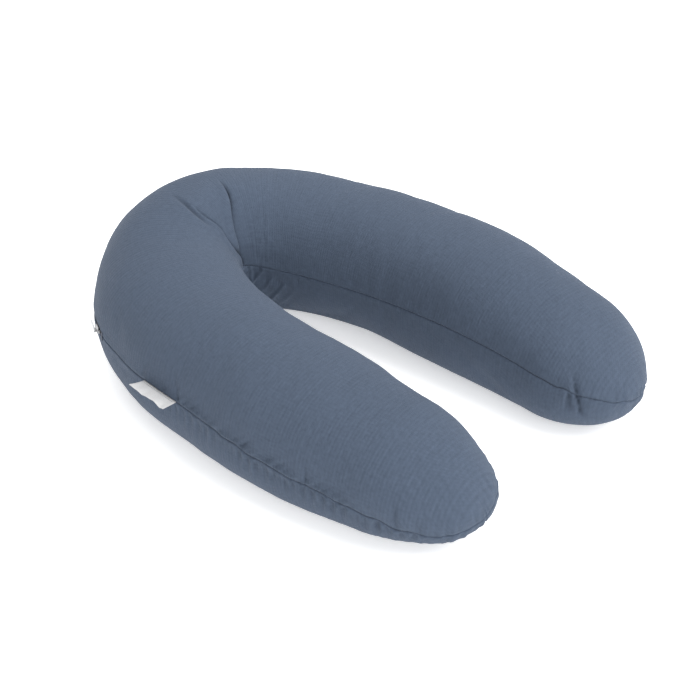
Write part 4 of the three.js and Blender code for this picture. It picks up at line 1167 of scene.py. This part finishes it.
def label_point(out, lift):
    """Points along the label at distance out from the wall, lift above its middle."""
    v = np.clip(out / LABEL_OUT, 0, 1)
    reach = out * (1 - 0.1 * UL)
    z = (2.8 + (1 - 2.8) * UL) * v + 0.9 * np.sin(11 * UL + 0.6) * v * v
    z = z - 2.2 * v**3 * np.maximum(0, 1 - np.abs(UL - 0.9) / 0.2) ** 2 + 0.35 * np.sin(27 * UL + 1.0) * v
    z = z - 0.5 * np.sin(np.pi * v) * (0.6 + 0.4 * np.cos(7 * UL))
    return root + flat_dir * reach[:, None] + np.array([0, 0, 1.0]) * (z + lift)[:, None]


prof = []
for o in (-1.6, 1.0, 4.0, 7.0, 10.0, 13.0, 16.0, 18.5):
    prof.append((o, 0.44))
for k in range(1, 8):
    an = math.pi / 2 - math.pi * k / 8
    prof.append((19.55 + 0.45 * math.cos(an), 0.44 * math.sin(an)))
for o in (18.5, 16.0, 13.0, 10.0, 7.0, 4.0, 1.0, -1.6):
    prof.append((o, -0.44))
for o in (-1.6, 1.0, 4.0, 7.0, 10.0, 13.0, 16.0, 18.5):
    prof.append((o, -0.12))
prof.append((19.2, 0.0))
for o in (18.5, 16.0, 13.0, 10.0, 7.0, 4.0, 1.0, -1.6):
    prof.append((o, 0.12))
sec = np.stack([label_point(np.full(len(UL), o), h) for o, h in prof], 1)
k = len(prof)
faces = [(i * k + j, i * k + (j + 1) % k, (i + 1) * k + (j + 1) % k, (i + 1) * k + j) for i in range(len(UL) - 1) for j in range(k)]
# the two ends are a strip of quads each, between the outer and the inner outline
outer = list(range(0, 23))
inner = [23 + j for j in range(17)]
half_out = {0: 39, 1: 38, 2: 37, 3: 36, 4: 35, 5: 34, 6: 33, 7: 32, 22: 23, 21: 24, 20: 25, 19: 26, 18: 27, 17: 28, 16: 29, 15: 30}
for base, rev in ((0, False), ((len(UL) - 1) * k, True)):
    cap = [(j, j + 1, half_out[j + 1], half_out[j]) for j in range(0, 7)]
    cap += [(j, j + 1, half_out[j + 1], half_out[j]) for j in range(15, 22)]
    cap += [(7, 8, 9, 31, 32), (9, 10, 11, 31), (11, 12, 13, 31), (13, 14, 15, 30, 31)]
    for f in cap:
        f = tuple(base + j for j in f)
        faces.append(f if rev else f[::-1])
run_l = np.concatenate([[0], np.cumsum(np.linalg.norm(np.diff(root, axis=0), axis=1))])
uv = np.stack([np.repeat(run_l[:, None], k, 1), np.tile(np.array([p[0] for p in prof]), (len(UL), 1))], -1)
label = make("seam_label", sec.reshape(-1, 3), faces, LABEL_MAT, uv.reshape(-1, 2))
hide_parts("side_label")
bend(label)
cp, cn, cg = [], [], []
line = label_point(np.full(len(UL), 2.0), 0.44)
run_s = np.concatenate([[0], np.cumsum(np.linalg.norm(np.diff(line, axis=0), axis=1))])
for d in np.arange(2.0, run_s[-1] - 1.5, 2.9):
    cp.append([np.interp(d, run_s, line[:, c]) for c in range(3)])
    a, b = (np.array([np.interp(d + e, run_s, line[:, c]) for c in range(3)]) for e in (-0.5, 0.5))
    cg.append(unit(b - a))
cn = np.tile(np.array([0, 0, 1.0]), (len(cp), 1))
ob = stitches("seam_label_stitches", np.array(cp) + cn * 0.08, np.array(cg), cn, 2.3, 0.22, LABEL_THREAD_MAT)
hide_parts("side_label_stitch")
bend(ob)

# ---- floor, light and camera ---------------------------------------------------------------
fm = Nodes("studio_floor")
floor_tone = fm.mix(fm.noise(fm.obj(), 1.2, 2.0), (0.93, 0.93, 0.93, 1), (0.95, 0.95, 0.95, 1))
floor_mat = fm.finish(Base_Color=floor_tone, Roughness=0.9, Specular_IOR_Level=0.1, Emission_Color=(1, 1, 1, 1), Emission_Strength=0.45)
floor = make("floor", [(-9000, -9000, -0.3), (9000, -9000, -0.3), (9000, 9000, -0.3), (-9000, 9000, -0.3)], [(0, 1, 2, 3)], floor_mat)

scene = bpy.context.scene
world = bpy.data.worlds.new("studio")
scene.world = world
world.use_nodes = True
bg = world.node_tree.nodes["Background"]
bg.inputs[0].default_value = (1.0, 1.0, 1.0, 1)
bg.inputs[1].default_value = 0.4


def sun(name, direction, strength, angle, colour=(1, 1, 1)):
    data = bpy.data.lights.new(name, "SUN")
    data.energy, data.angle, data.color = strength, math.radians(angle), colour
    ob = bpy.data.objects.new(name, data)
    ob.rotation_mode = "QUATERNION"
    ob.rotation_quaternion = Vector(direction).to_track_quat("Z", "Y")
    scene.collection.objects.link(ob)
    return ob


sun("key", (0.32, -0.50, 0.80), 2.5, 50)
sun("front", (-0.453, -0.785, 0.423), 1.75, 50)
sun("back", (0.287, 0.497, 0.819), 1.7, 60)

cam_data = bpy.data.cameras.new("camera")
cam = bpy.data.objects.new("camera", cam_data)
scene.collection.objects.link(cam)
scene.camera = cam
cam.location = (-1.0035152, -0.9146520, 0.9431834)
cam.rotation_mode = "QUATERNION"
cam.rotation_quaternion = Vector((0.61663293, 0.5662879, -0.54688376)).to_track_quat("-Z", "Y")
cam_data.sensor_width = 36
cam_data.lens = 36 * 1238.3835 / 700
cam_data.shift_x, cam_data.shift_y = 16.0697 / 700, -8.7543 / 700
cam_data.clip_start, cam_data.clip_end = 0.05, 40

scene.view_settings.view_transform = "Standard"
scene.view_settings.look = "None"
